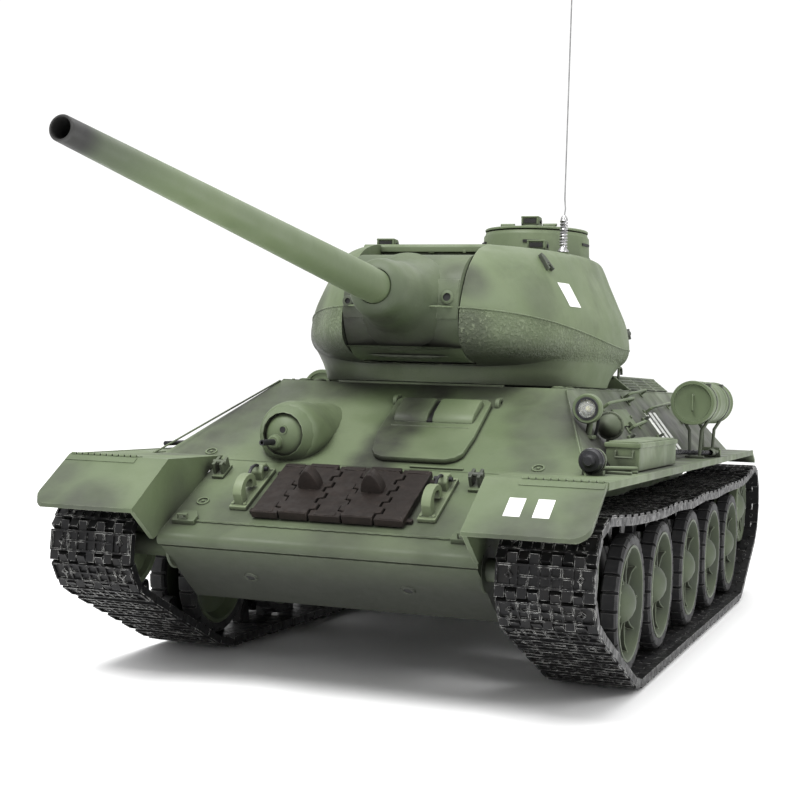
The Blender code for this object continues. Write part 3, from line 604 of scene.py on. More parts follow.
# Dark spots on the hull: airbrushed streaks and bands on the glacis; painted shade at the foot of the glacis,
# on the mudguard fronts, along the hull sides and on the roof under the turret; more dark spots on the deck.
HULL_SPOTS_AND_PAINTED_SHADE = ([on_plate(8 + 1.4 * (k % 2) - 0.8 * k, 104 - 6 * k, 13, 0.95) for k in range(10)]
               + [on_plate(-50 - 4 * k, 104 - 12 * k, 15, 0.66) for k in range(7)]
               + [on_plate(44 + 4 * k, 104 - 12 * k, 12, 0.5) for k in range(7)]
               + [on_plate(34, 20, 16, 0.55), on_plate(8, 12, 18, 0.45), on_plate(-34, 20, 16, 0.5)]
               + [on_plate(side * 58, 18, 18, 0.5) for side in (LEFT, RIGHT)]
               + [(side * 92, -88, 62, 14, 0.6) for side in (LEFT, RIGHT)]
               + [(side * 74, -93, 58, 20, 0.7) for side in (LEFT, RIGHT)]
               + [(side * 93, -80, 66, 16, 0.6) for side in (LEFT, RIGHT)]
               + [(side * 72, 10 + 34 * k, 84, 36, 0.95) for side in (LEFT, RIGHT) for k in range(8)]
               + [(side * 62, 150 + 30 * k, 98, 18, 0.5) for side in (LEFT, RIGHT) for k in range(4)]
               + [(side * 30, 18, 104, 20, 0.7) for side in (LEFT, RIGHT)]
               + [(0, 150, 103, 50, 0.5), (-30, 250, 96, 30, 0.45), (30, 250, 96, 30, 0.45)])
# Dark spots on the mantlet: a stain at the upper right; painted shade along its bottom, on its left side and
# on the gun's collar.
MANTLET_SPOTS_AND_PAINTED_SHADE = ((-20, -4, 120, 17, 0.9), (-8, -8, 113, 26, 1.0), (10, -6, 112, 20, 0.85),
                  (20, -2, 147, 10, 0.6), (-21, -4, 135, 9, 0.5), (0, -22, 124, 10, 0.8))
# Dark spots on the turret: partly airbrushed shading, partly painted shade on the cheeks round the mantlet
# and low on the flanks.
TURRET_SPOTS_AND_PAINTED_SHADE = ((42, 30, 134, 14, 0.4), (26, 2, 142, 12, 0.8), (-50, 30, 118, 20, 0.7),
                 (50, 140, 110, 22, 0.6), (26, -1, 122, 12, 0.7), (0, 160, 120, 30, 0.4),
                 (-40, 20, 128, 16, 0.5))


def worn_metal(name, base, edge_colour, edge, roughness=0.5, metallic=0.4, dust=None):
    """Dark metal with dry-brushed edges and painted shade in its corners."""
    metal = Finish(name, base, roughness, metallic)
    metal.shader.inputs["Specular IOR Level"].default_value = 0.22
    metal.tint(metal.ramp(metal.noise(4, 4, 0.6), 0.40, 0.72), tuple(c * 1.9 for c in base), 0.6)
    if dust:
        metal.tint(metal.ramp(metal.noise(9, 4, 0.65), 0.46, 0.72), dust, 0.4)
    rubbed = metal.math("MULTIPLY", metal.edges(0.32), metal.ramp(metal.noise(3.2, 4, 0.7), 0.46, 0.60))
    metal.tint(rubbed, edge_colour, edge)
    # Painted shade in corners and recesses.
    metal.tint(metal.ramp(metal.hidden(9), 0.35, 0.95), SOOT_AND_SHADE_BLACK, 0.75)
    metal.bump(metal.noise(0.6, 3, 0.6), 0.03)
    metal.vary("Roughness", metal.ramp(metal.noise(3, 4), 0.3, 0.7, roughness - 0.12, roughness + 0.15))
    return metal.done()


def black_rubber():
    rubber = Finish("tyre_rubber", (0.010, 0.010, 0.011), 0.7)
    rubber.tint(rubber.ramp(rubber.noise(6, 4, 0.6), 0.45, 0.75), (0.030, 0.030, 0.029), 0.6)
    rubbed = rubber.math("MULTIPLY", rubber.edges(0.4), rubber.ramp(rubber.noise(3, 4), 0.35, 0.6))
    rubber.tint(rubbed, (0.26, 0.26, 0.25), 0.55)
    rubber.bump(rubber.noise(0.5, 3), 0.03)
    rubber.vary("Roughness", rubber.ramp(rubber.noise(5, 3), 0.3, 0.7, 0.62, 0.85))
    return rubber.done()


def barrel_paint():
    """Green that turns sooty towards the muzzle."""
    paint = Finish("barrel_green", (0.094, 0.125, 0.063), 0.58)
    paint.tint(paint.ramp(paint.noise(30, 3), 0.42, 0.66), PALE_GREEN, 0.35)
    reach = paint.axis("Y")
    muzzle_y = aft(TRUNNION[0]) - MUZZLE_REACH * math.cos(math.radians(GUN_ELEVATION))
    haze = paint.ramp(reach, (muzzle_y + 52) * MM, (muzzle_y + 4) * MM, 0.0, 0.72)
    paint.tint(haze, (0.030, 0.036, 0.026), 1.0)
    paint.tint(paint.ramp(reach, (muzzle_y + 15) * MM, (muzzle_y + 5) * MM), SOOT_AND_SHADE_BLACK, 1.0)
    paint.bump(paint.noise(0.8, 3), 0.025)
    paint.vary("Roughness", paint.ramp(paint.noise(12, 4), 0.3, 0.7, 0.46, 0.66))
    return paint.done()


def white_marking():
    paint = Finish("chalky_white", (0.72, 0.73, 0.70), 0.7)
    chipped = paint.ramp(paint.noise(1.3, 5, 0.7), 0.60, 0.66)
    paint.tint(chipped, (0.42, 0.47, 0.36), 0.8)
    paint.bump(paint.noise(0.7, 3), 0.03)
    return paint.done()


def plain(name, colour, roughness, metallic=0.0, size=4.0, depth=0.02):
    """A moulded or drawn material with slight mottling."""
    made = Finish(name, colour, roughness, metallic)
    made.tint(made.ramp(made.noise(size, 4), 0.4, 0.7), tuple(min(1, c * 1.5 + 0.004) for c in colour), 0.5)
    made.bump(made.noise(size / 5, 3), depth)
    made.vary("Roughness", made.ramp(made.noise(size, 3), 0.3, 0.7, max(0.02, roughness - 0.1),
                                     roughness + 0.1))
    return made.done()


def clear_lens():
    made = Finish("clear_lens", (0.93, 0.95, 0.93), 0.03)
    made.shader.inputs["Transmission Weight"].default_value = 0.85
    made.shader.inputs["IOR"].default_value = 1.46
    made.bump(made.ramp(made.noise(1.2, 1), 0.3, 0.7), 0.04)
    made.tint(made.ramp(made.noise(3, 2), 0.5, 0.8), (0.86, 0.90, 0.86), 0.5)
    return made.done()


# The hull's low ramp is painted shade on the nose and lower plate.
hull_green = green_paint("hull_green", HULL_SPOTS_AND_PAINTED_SHADE, low=(66, 33, 0.97))
# The turret's base is a lighter copy of GREEN: painted light.
turret_green = green_paint("turret_green", TURRET_SPOTS_AND_PAINTED_SHADE, cast=rough_casting, base=(0.090, 0.120, 0.059))
# The mantlet's base is a darker copy of GREEN: painted shade.
mantlet_green = green_paint("mantlet_green", MANTLET_SPOTS_AND_PAINTED_SHADE, grain=0.09, base=(0.046, 0.063, 0.031))
part_green = green_paint("part_green")
hook_green = green_paint("hook_green", base=PALE_GREEN, edge=0.6)
wheel_green = green_paint("wheel_green", edge=0.6, base=(0.040, 0.052, 0.030))
shadow_green = green_paint("shadow_green", base=(0.022, 0.027, 0.018), edge=0.2)
dark_olive = green_paint("dark_olive", base=(0.030, 0.036, 0.025), edge=0.30)
gun_green = barrel_paint()
track_black = worn_metal("track_black", (0.005, 0.005, 0.0055), SILVER, 1.0, 0.45, 0.1,
                         dust=(0.014, 0.012, 0.010))
link_brown = worn_metal("link_brown", (0.012, 0.0085, 0.007), (0.15, 0.125, 0.105), 0.4, 0.6, 0.0)
black_metal = worn_metal("black_metal", (0.022, 0.022, 0.024), (0.30, 0.30, 0.31), 0.4, 0.42, 0.5)
tyre_rubber = black_rubber()
bright_steel = plain("bright_steel", (0.30, 0.30, 0.30), 0.28, 1.0)
white_paint = white_marking()
lens_glass = clear_lens()
lamp_yellow = plain("lamp_yellow", (0.80, 0.72, 0.30), 0.3)
# Black put in holes, bores, gaps, windows and the intakes: painted shade.
hole_shade_black = plain("hole_shade_black", (0.006, 0.006, 0.006), 0.8)
shrink_wrap = plain("shrink_wrap", (0.03, 0.09, 0.28), 0.32, size=12)
circuit_board = plain("circuit_board", (0.02, 0.11, 0.05), 0.45, size=3)
black_nylon = plain("black_nylon", (0.02, 0.02, 0.021), 0.55)


# ---------------------------------------------------------------- running gear

LINK_PITCH = 10.75
LINK_WIDTH = TRACK_X[1] - TRACK_X[0]
HINGE_LINE = 1.9
LINK_CELLS = 9


def horn_part():
    """A guide horn's pointed arch, standing into the loop."""
    side = [(-3.9, 1.2), (-3.8, -1.8), (-3.2, -4.4), (-2.1, -6.8), (-0.9, -8.3), (0, -8.8)]
    outline = side + [(-y, z) for y, z in side[-2::-1]]
    return prism(outline, "X", -2.1, 2.1)


def link_mesh(horned):
    """A track link: across is X, travel is Y, and Z points out of the loop."""
    half = LINK_WIDTH / 2
    cell = LINK_WIDTH / LINK_CELLS
    hinge = LINK_PITCH / 2
    link = Piece()
    outline = []
    for end in (1, -1):
        for k in range(LINK_CELLS):
            finger = (k % 2 == 0) == (end > 0)
            y = end * (hinge + 1.5 if finger else hinge - 1.9)
            trim = 0.2 if finger else -0.2
            low, high = -half + cell * k, -half + cell * (k + 1)
            low += trim if k else 0.1
            high -= trim if k < LINK_CELLS - 1 else 0.1
            pair = [(low, y), (high, y)]
            outline += pair if end > 0 else [(-x, y) for x, _ in pair]
    link.add(prism(outline, "Z", 0.6, 3.3))
    for k in range(2, LINK_CELLS - 1):
        x = -half + cell * k
        link.add(box((x - 0.3, -3.5, 2.3), (x + 0.3, 3.5, 3.9)))
    rib_end = half - 2.0 * cell
    for y, width in ((0, 0.3), (3.3, 0.32), (-3.3, 0.32)):
        link.add(box((-rib_end, y - width, 2.3), (rib_end, y + width, 4.0)))
    for side in (-1, 1):
        x = side * (half - 1.05 * cell)
        frame_low, frame_high = sorted((side * (half - 0.3), side * rib_end))
        for low, high in (((frame_low, 2.9), (frame_high, 3.5)), ((frame_low, -3.5), (frame_high, -2.9))):
            link.add(box((*low, 2.3), (*high, 4.1)))
        edge = side * (half - 0.6)
        link.add(box((edge - 0.3, -3.2, 2.3), (edge + 0.3, 3.2, 4.1)))
        pin = turned([(2.3, 0.65), (2.3, 1.35), (4.0, 1.25), (4.0, 0.65)], "Z", (x + side * -0.9, 0, 0), 4)
        link.add(pin)
        link.add(box((x - side * 0.9 - 0.2, 1.2, 2.3), (x - side * 0.9 + 0.2, 3.0, 3.8)))
        link.add(box((x - side * 0.9 - 0.2, -3.0, 2.3), (x - side * 0.9 + 0.2, -1.2, 3.8)))
        link.add(turned([(0.55, 0), (0.55, 0.9), (1.2, 0.9), (1.2, 0)], "Z", (x, 0, 0), 10))
    if horned:
        link.add(horn_part(), bevel=0.5, segments=1)
    return link.work


def track_path(spread):
    """The loop of the CAD track, sagging over the wheels; spread moves it outwards."""
    idler_r, drive_r = IDLER_R + GAP + spread, SPROCKET_R + GAP + spread
    bottom = AXLE_Z - WHEEL_R - GAP - spread
    top = TOP_RUN_Z + spread
    loop = arc(IDLER, idler_r, 86, 247, 24)
    loop += [(-9.0 + 256 * k / 16, bottom) for k in range(17)]
    loop += arc(SPROCKET, drive_r, -57, 106, 24)
    run = [(246, top + 0.6), (222, top), (182, top), (152, top - 0.9), (123, top), (90, top - 1.2),
           (57, top), (28, top - 0.6), (0, top), (-24, top + 0.7)]
    return loop + run


def along_loop(points, reach):
    """The point at a distance round a closed line."""
    for start, end in zip(points, points[1:] + points[:1]):
        step = (end - start).length
        if reach <= step:
            return start.lerp(end, reach / step)
        reach -= step
    return points[0]


def track(word, side):
    line = [Vector((s, z)) for s, z in track_path(HINGE_LINE)]
    length = sum((b - a).length for a, b in zip(line, line[1:] + line[:1]))
    count = 2 * round(length / LINK_PITCH / 2)
    pitch = length / count
    meshes = [link_mesh(horned) for horned in (True, False)]
    piece = Piece(track_black)
    x = side * (TRACK_X[0] + TRACK_X[1]) / 2
    for k in range(count):
        start, end = (along_loop(line, pitch * n % length) for n in (k, k + 1))
        travel = (end - start).normalized()
        out = Vector((-travel.y, travel.x)) * -1
        middle = (start + end) / 2 - out * HINGE_LINE
        turned_to = Matrix(((1, 0, 0), (0, travel.x, out.x), (0, travel.y, out.y))).to_4x4()
        stretch = Matrix.Diagonal((1, (end - start).length / LINK_PITCH, 1, 1))
        place = Matrix.Translation((x, aft(middle.x), middle.y)) @ turned_to @ stretch
        piece.add(meshes[k % 2], place, keep=True)
    for mesh in meshes:
        mesh.free()
    piece.done(f"links_{word}", "hull", "track_link", (f"track_{word}",), crease=30)


def tyre(inner, outer):
    """A tyre with notches across its tread, between two X positions."""
    loops = []
    notches = 24
    step = 360 / notches
    for k in range(notches):
        for share, depth in ((0.10, 0.0), (0.5, 0.0), (0.90, 0.0), (0.93, 1.5), (1.07, 1.5)):
            angle = math.radians((k + share) * step)
            tread = WHEEL_R - depth
            shape = [(inner, 20.3), (inner - 0.2, tread - 0.9), (inner + 0.5, tread), (outer - 0.9, tread),
                     (outer - 0.1, tread - 0.8 + depth * 0.4), (outer, 21.6), (outer - 0.3, 20.3)]
            loops.append([(x, r * math.cos(angle), r * math.sin(angle)) for x, r in shape])
    return joined(loops, closed=True)


def rib_fan(piece, count, outline, width, paint=0):
    """Thin radial ribs on a wheel; the outline holds (X, radius) points."""
    for k in range(count):
        piece.add(prism([(x, r) for x, r in outline], "Y", -width / 2, width / 2),
                  turn("X", 360 * (k + 0.5) / count), paint, bevel=0.15, segments=1)


def bolt_ring(piece, count, radius, x, size, height, paint=0):
    for k in range(count):
        place = turn("X", 360 * k / count) @ move(x, 0, radius) @ turn("Y", 90)
        piece.add(hexagon((0, 0, 0), size, height), place, paint)


def road_wheel_mesh():
    """Outer side towards +X, about the wheel's middle."""
    piece = Piece(wheel_green, tyre_rubber)
    outer_disc = [(3.2, 0), (3.2, 19.4), (3.6, 20.4), (8.4, 20.4), (9.0, 20.1), (9.0, 19.3), (8.2, 18.9),
                  (4.6, 18.0), (3.9, 16.4), (3.8, 9.4), (4.2, 7.6), (6.2, 7.1), (8.0, 6.1), (9.3, 4.5),
                  (10.2, 2.5), (10.5, 0)]
    piece.add(turned(outer_disc, "X", segments=48))
    inner_disc = [(-3.2, 0), (-3.2, 19.4), (-3.6, 20.4), (-8.4, 20.4), (-9.0, 20.0), (-9.0, 18.8),
                  (-5.4, 16.4), (-5.0, 8.0), (-8.6, 6.4), (-8.6, 0)]
    piece.add(turned(inner_disc, "X", segments=40))
    piece.add(disc("X", (0, 0, 0), -3.4, 3.4, 8.0, 24))
    rib_fan(piece, 10, [(3.6, 6.4), (6.6, 6.6), (6.2, 10), (6.2, 15.6), (7.2, 18.9), (3.6, 18.6)], 0.75)
    piece.add(tyre(3.3, 9.0), paint=1)
    piece.add(tyre(3.3, 9.0), turn("Z", 180), paint=1)
    return piece


def sprocket_mesh():
    piece = Piece(wheel_green)
    outer_disc = [(3.2, 0), (3.2, 17.4), (3.7, 18.1), (7.4, 18.1), (8.0, 17.5), (8.0, 16.2), (6.9, 15.4),
                  (6.3, 10.6), (6.7, 7.6), (7.4, 6.6), (8.6, 4.8), (9.4, 2.6), (9.5, 0)]
    piece.add(turned(outer_disc, "X", segments=48))
    inner_disc = [(-3.2, 0), (-3.2, 18.1), (-8.0, 18.1), (-8.0, 16.0), (-7.0, 15.0), (-7.0, 0)]
    piece.add(turned(inner_disc, "X", segments=40))
    piece.add(disc("X", (0, 0, 0), -3.4, 3.4, 8.2, 24))
    rib_fan(piece, 6, [(6.0, 8.0), (7.3, 8.3), (7.4, 15.0), (6.0, 15.6)], 1.4)
    bolt_ring(piece, 12, 9.2, 6.2, 0.55, 0.8)
    bolt_ring(piece, 6, 13.0, 6.4, 1.5, 0.8)
    piece.add(disc("X", (0, 0, 0), -25.0, -7.0, 3.8, 20))
    return piece


def idler_mesh():
    piece = Piece(wheel_green)
    outer_disc = [(3.2, 0), (3.2, 14.4), (3.7, 14.9), (7.4, 14.9), (8.0, 14.4), (8.0, 13.4), (6.8, 12.6),
                  (5.4, 10.6), (5.2, 7.0), (6.0, 6.2), (8.4, 5.2), (9.3, 3.0), (9.5, 0)]
    piece.add(turned(outer_disc, "X", segments=40))
    inner_disc = [(-3.2, 0), (-3.2, 14.9), (-8.0, 14.9), (-8.0, 13.0), (-6.0, 12.0), (-6.0, 0)]
    piece.add(turned(inner_disc, "X", segments=36))
    piece.add(disc("X", (0, 0, 0), -3.4, 3.4, 5.6, 24))
    rib_fan(piece, 8, [(5.0, 6.4), (6.6, 6.8), (6.8, 12.0), (5.4, 12.4)], 0.8)
    piece.add(disc("X", (0, 0, 0), -25.0, -6.0, 3.8, 20))
    return piece


def wheels():
    """One mesh for each kind of wheel, shown at every axle and turned round for the right side."""
    stations = [(f"road_{{}}_{n}", f"wheel_{{}}_{n}", f"road_wheel_{{}}_{n}", s, AXLE_Z)
                for n, s in enumerate(AXLE_STATIONS, start=1)]
    kinds = ((road_wheel_mesh(), stations),
             (sprocket_mesh(), [("sprocket_{}", "sprocket_{}", "drive_sprocket_{}", *SPROCKET)]),
             (idler_mesh(), [("idler_{}", "idler_{}", "idler_wheel_{}", *IDLER)]))
    for piece, places in kinds:
        mesh = None
        for word, side in SIDES:
            twist = IDENTITY if side == LEFT else turn("Z", 180)
            for body, node, name, station, z in places:
                centre = spot(side * WHEEL_X, station, z)
                body, node, name = body.format(word), node.format(word), name.format(word)
                if mesh is None:
                    made = piece.done(name, body, "wheel_paint", (node,), centre, crease=32)
                    mesh = made.data
                else:
                    show(name, mesh, body, (node,), centre, twist)


# ---------------------------------------------------------------- hull

def paint_nodes():
    """Materials and softened edges for the CAD nodes that stay visible."""
    kept = {"upper_hull": hull_green, "lower_hull": hull_green, "battery_door": shadow_green,
            "battery_pack": shrink_wrap, "control_board": circuit_board, "speaker": black_nylon,
            "gearbox_left": black_nylon, "gearbox_right": black_nylon}
    for name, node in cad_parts.items():
        node.data.materials.clear()
        node.data.materials.append(shadow_green if name.startswith("arm_") else kept.get(name, part_green))
    round_edges("upper_hull", 0.45)
    round_edges("lower_hull", 0.8)


def nose():
    """The weld line and lugs at the foot of the glacis, and the dimples in the lower plate."""
    piece = Piece(hull_green, hole_shade_black)
    weld = [(x, 10.8 + 0.25 * (k % 2), 0.15) for k, x in enumerate(range(-54, 55, 2))]
    piece.add(tube(weld, 0.5, 6), ON_GLACIS)
    for side in (LEFT, RIGHT):
        at = ON_GLACIS @ move(side * 49, 10.8, 0)
        lug = [(-4.2, -2.0), (4.2, -2.0), (4.2, 1.4), (2.6, 4.2), (-2.6, 4.2), (-4.2, 1.4)]
        piece.add(prism(lug, "Z", -0.2, 1.6), at, bevel=0.3)
        piece.add(hexagon((0, 0, 0), 1.0, 1.2), at @ move(0, 0.6, 1.4))
        piece.add(tube([(-1.8, 0, 0), (-1.6, 0, 2.2), (1.6, 0, 2.2), (1.8, 0, 0)], 0.4, 6),
                  at @ move(0, -1.2, 1.2))
    piece.done("nose_beam", "hull", "hull_paint")
    dimples = Piece(hull_green, hole_shade_black)
    lower = move(0, aft(-60.6), 36.25) @ turn("X", 180 - 36.9)
    for side in (LEFT, RIGHT):
        place = lower @ move(side * 28, 0, 0.1)
        dimples.add(turned([(0.0, 1.5), (0.0, 2.5), (0.5, 2.2), (0.5, 1.6)], "Z", (0, 0, 0), 24), place)
        # Painted shade: a black disc in each eye.
        dimples.add(disc("Z", (0, 0, 0), 0.0, 0.22, 1.6, 20), place, paint=1)
    dimples.done("lower_plate_eyes", "hull", "hull_paint")


def tow_hook(word, side):
    """A cast C-shaped hook on a foot plate with a sprung latch."""
    piece = Piece(hook_green, black_metal)
    at = ON_GLACIS @ move(side * 33.5, 19.6, 0)
    piece.add(box((-3.2, -0.4, -0.1), (3.2, 25.4, 1.4)), at, bevel=0.35)
    throat = [(7.6 + 2.9 * math.cos(math.radians(a)), 4.6 + 2.1 * math.sin(math.radians(a)))
              for a in range(-50, 151, 20)]
    back = [(7.0 + 6.2 * math.cos(math.radians(a)), 4.2 + 4.6 * math.sin(math.radians(a)))
            for a in range(165, -6, -19)]
    piece.add(prism([(1.2, 0.8)] + back + [(13.0, 1.8)] + throat + [(4.6, 0.8)], "X", -1.7, 1.7), at,
              bevel=0.45)
    rear = [(16.4, 0.8), (16.8, 4.6), (19.0, 6.2), (22.0, 5.4), (23.6, 2.6), (24.0, 0.8)]
    piece.add(prism(rear, "X", -2.0, 2.0), at, bevel=0.5)
    piece.add(tube(smooth_line([(0, 11.8, 6.6), (0, 14.4, 7.6), (0, 17.6, 6.9), (0, 20, 5.0)], 5), 0.55, 8),
              at, paint=1)
    piece.add(disc("X", (0, 19.6, 4.4), -3.2, 3.2, 0.8, 12), at, paint=1)
    for y in (1.2, 23.8):
        for x in (-2.2, 2.2):
            piece.add(hexagon((x, y, 1.3), 0.65, 0.7), at)
    piece.done(f"tow_hook_{word}_cast", "hull", "dark_fittings", (f"tow_hook_{word}",))


def spare_link_rack():
    """Five links pinned side by side across the glacis, with guide horns on the second and fourth."""
    piece = Piece(link_brown)
    low, length, fingers = 14.6, 31.4, 9
    tooth = length / fingers
    joints = (-26.6, -17.5, -4.9, 4.8, 18.0, 27.6)
    for k in range(5):
        left, right = joints[k] + 0.3, joints[k + 1] - 0.3
        outline = []
        for n in range(fingers):
            out = 1.0 if n % 2 == k % 2 else -1.0
            edge = right + (out if k < 4 else 0)
            outline += [(edge, tooth * n + 0.18), (edge, tooth * (n + 1) - 0.18)]
        for n in reversed(range(fingers)):
            out = 1.0 if n % 2 != k % 2 else -1.0
            edge = left + (out if k > 0 else 0)
            outline += [(edge, tooth * (n + 1) - 0.18), (edge, tooth * n + 0.18)]
        at = ON_GLACIS @ move(0, low, 0)
        lift = 0.5 if k % 2 else 0.0
        piece.add(prism(outline, "Z", 0.5, 3.0 + lift), at, bevel=0.2, segments=1)
        middle = (left + right) / 2
        for y in (0.4, length - 2.4):
            piece.add(box((left + 0.8, y, 2.0), (right - 0.8, y + 2.0, 3.3 + lift)), at, bevel=0.3)
        if k % 2:
            base = at @ move(middle, 17.0, 3.2) @ turn("Z", 90) @ turn("X", 180)
            piece.add(horn_part(), base @ Matrix.Diagonal((1.1, 1.0, 0.85, 1)), bevel=0.6)
    for y in (3.0, 27.0):
        piece.add(box((-28.4, y, 0), (29.2, y + 1.8, 1.2)), ON_GLACIS @ move(0, low, 0), bevel=0.2)
    piece.done("spare_links", "hull", "spare_link", ("spare_tracks",))


def driver_hatch():
    """The lid with two vision-block hoods and a cross rib, and the hinges it turns on."""
    piece = Piece(hull_green, hole_shade_black)
    outline = [(-2.8, 96.6), (-2.2, 72.0), (0.4, 59.5), (2.2, 56.8), (5.5, 55.2), (28.5, 55.2), (31.6, 56.8),
               (33.6, 59.8), (34.2, 72.0), (33.4, 96.6), (31.6, 98.6), (-1.2, 98.6)]
    piece.add(prism(outline, "Z", GAP, 2.3), ON_GLACIS, bevel=0.6)
    for low, high in ((1.2, 14.2), (15.8, 31.2)):
        hood = [(79.4, 1.8), (80.4, 3.6), (83.4, 4.8), (92.0, 5.2), (94.4, 4.4), (95.2, 1.8)]
        piece.add(prism(hood, "X", low, high), ON_GLACIS, bevel=0.9)
    # Painted shade: a black strip in the gap between the hoods.
    piece.add(box((14.0, 79.8, 1.8), (15.9, 94.8, 3.0)), ON_GLACIS, paint=1)
    piece.add(tube([(1.7, 77.0, 2.3), (30.6, 77.0, 2.3)], 0.35, 6), ON_GLACIS)
    for x in (1.6, 28.8):
        piece.add(disc("X", (0, 98.6, 0.0), x - 2.6, x + 2.6, 1.9, 14), ON_GLACIS, bevel=0.2)
        piece.add(hexagon((0, 0, 0), 0.7, 0.8), ON_GLACIS @ move(x, 95.2, 2.2))
    piece.done("driver_hatch_lid", "driver_lid", "hull_paint", ("driver_hatch",))
    sill = Piece(hull_green)
    sill.add(box((16.7, 52.0, -0.2), (35.8, 53.0, 0.7)), ON_GLACIS, bevel=0.2)
    for x in (-4.2, 35.2):
        sill.add(disc("X", (0, 98.6, 0.0), x - 0.8, x + 0.8, 2.5, 14), ON_GLACIS, bevel=0.3)
        sill.add(box((x - 0.8, 98.6, -0.4), (x + 0.8, 102.4, 1.2)), ON_GLACIS, bevel=0.3)
    sill.done("driver_hatch_frame", "hull", "hull_paint")


def bow_gun():
    """The cast bulge on the glacis, and the armoured ball with its gun and sight hole."""
    ball_r, socket_r, mouth = 9.9, 10.2, 62
    socket = [(-socket_r * math.cos(math.radians(a)), socket_r * math.sin(math.radians(a)))
              for a in range(180, mouth - 1, -6)]
    socket[0] = (socket_r, 0)
    bulge = Piece(hull_green)
    profile = socket + [(-5.3, 9.2), (-5.3, 9.8), (-4.7, 10.7), (-3.2, 11.4), (-0.5, 11.8), (6, 11.7),
                        (14, 10.8),
                        (22, 8.8), (30, 5.0), (34, 0)]
    bulge.add(turned(profile, "Y", spot(*BOW_GUN), 56))
    bulge.done("gun_port_casting", "hull", "hull_paint")
    piece = Piece(hull_green, black_metal, hole_shade_black)
    shell = [(-r * math.cos(math.radians(a)), r * math.sin(math.radians(a)))
             for r, sweep in ((ball_r, range(0, 76, 5)), (ball_r - 0.5, range(75, -1, -5))) for a in sweep]
    shell[0], shell[-1] = (-ball_r, 0), (0.5 - ball_r, 0)
    piece.add(turned(shell, "Y", spot(*BOW_GUN), 48))
    aimed = Matrix.Translation(spot(*BOW_GUN)) @ turn("X", 90)
    piece.add(turned([(8.4, 0), (8.4, 2.9), (11.0, 2.5), (11.6, 1.9), (11.6, 0)], "Z", (-2.2, -2.8, 0), 22),
              aimed)
    piece.add(turned([(8.6, 0), (8.6, 1.15), (20.6, 1.0), (20.6, 0.6), (18.6, 0.6), (18.6, 0)], "Z",
                     (-2.2, -2.8, 0), 16), aimed, paint=1)
    piece.add(turned([(9.2, 1.15), (9.2, 1.7), (10.2, 1.5), (10.2, 1.15)], "Z", (0.7, 1.6, 0), 18), aimed)
    # Painted shade: a black disc in the sight hole.
    piece.add(disc("Z", (0.7, 1.6, 0), 9.2, 10.1, 1.2, 18), aimed, paint=2)
    piece.done("bow_gun_ball", "bow_gun", "hull_paint", ("bow_gun",))


def mudguards():
    """Hinge strips, stiffening lips and brackets on the fenders."""
    for word, side in SIDES:
        piece = Piece(hull_green, dark_olive, black_metal)
        slope = math.atan2(FENDER_TOP - 59.4, 93.0 - 70.3)
        flap = Matrix.Translation(spot(0, -70.3, FENDER_TOP)) @ turn("X", math.degrees(slope))
        for k in range(11):
            x = side * (91.8 - 2.35 * k)
            piece.add(disc("X", (0, 0.1, 0.15), x - 0.85, x + 0.85, 0.55, 10), flap)
        low, high = sorted((side * 66.8, side * 93.4))
        piece.add(box((low, -3.4, -0.1), (high, -0.5, 0.28)), flap, bevel=0.12)
        piece.add(box((low, 0.5, -0.1), (high, 3.0, 0.28)), move(0, aft(-70.3), FENDER_TOP), bevel=0.12)
        lip_low, lip_high = sorted((side * (FENDER_OUTER_X - 0.55), side * (FENDER_OUTER_X + 0.35)))
        piece.add(box((lip_low, aft(-69.5), FENDER_TOP - 2.3), (lip_high, aft(267), FENDER_TOP + 0.25)),
                  bevel=0.2)
        for station in (-20, 40, 100, 165, 235):
            stay = [(side * 93, FENDER_TOP - 1.6), (side * 93, FENDER_TOP - 2.8),
                    (side * 57, FENDER_TOP - 7.5), (side * 57, FENDER_TOP - 1.6)]
            piece.add(prism(stay, "Y", aft(station), aft(station) + 1.0), bevel=0.2)
        piece.add(tube([spot(side * 79.4, s, FENDER_TOP + 0.1) for s in range(-38, 262, 12)], 0.4, 6))
        weld = [spot(side * (57.4 + 22.0 * k / 16), 20.0 - 58.6 * k / 16, 102.2 - 27.8 * k / 16)
                for k in range(17)]
        piece.add(tube(weld, 0.35, 6))
        piece.done(f"mudguard_trim_{word}", "hull", "hull_paint")


def glacis_fittings():
    """Small brackets on the glacis beside the mudguards."""
    piece = Piece(part_green, dark_olive)
    for x, up in ((-50.1, 42.3), (43.6, 43.2)):
        at = ON_GLACIS @ move(x, up, 0)
        piece.add(box((-2.2, -4.2, 0), (2.2, 4.2, 1.0)), at, bevel=0.25)
        piece.add(box((-2.0, -2.8, 0.5), (-0.9, 2.8, 5.0)), at, paint=1, bevel=0.2)
        piece.add(box((0.9, -2.8, 0.5), (2.0, 2.8, 5.0)), at, paint=1, bevel=0.2)
        piece.add(disc("X", (0, 0, 4.2), -2.5, 2.5, 0.9, 12), at, paint=1)
    for x, up in ((-61, 56), (61, 56), (-48.5, 23.3), (48.5, 26)):
        at = ON_GLACIS @ move(x, up, 0)
        piece.add(turned([(0, 1.7), (0, 2.3), (0.35, 2.2), (0.35, 1.7)], "Z", (0, 0, 0), 20), at)
        piece.add(hexagon((0, 0, 0), 0.6, 0.4), at)
    piece.done("glacis_brackets", "hull", "hull_paint")


# ---------------------------------------------------------------- turret

WIDEST = 92.0
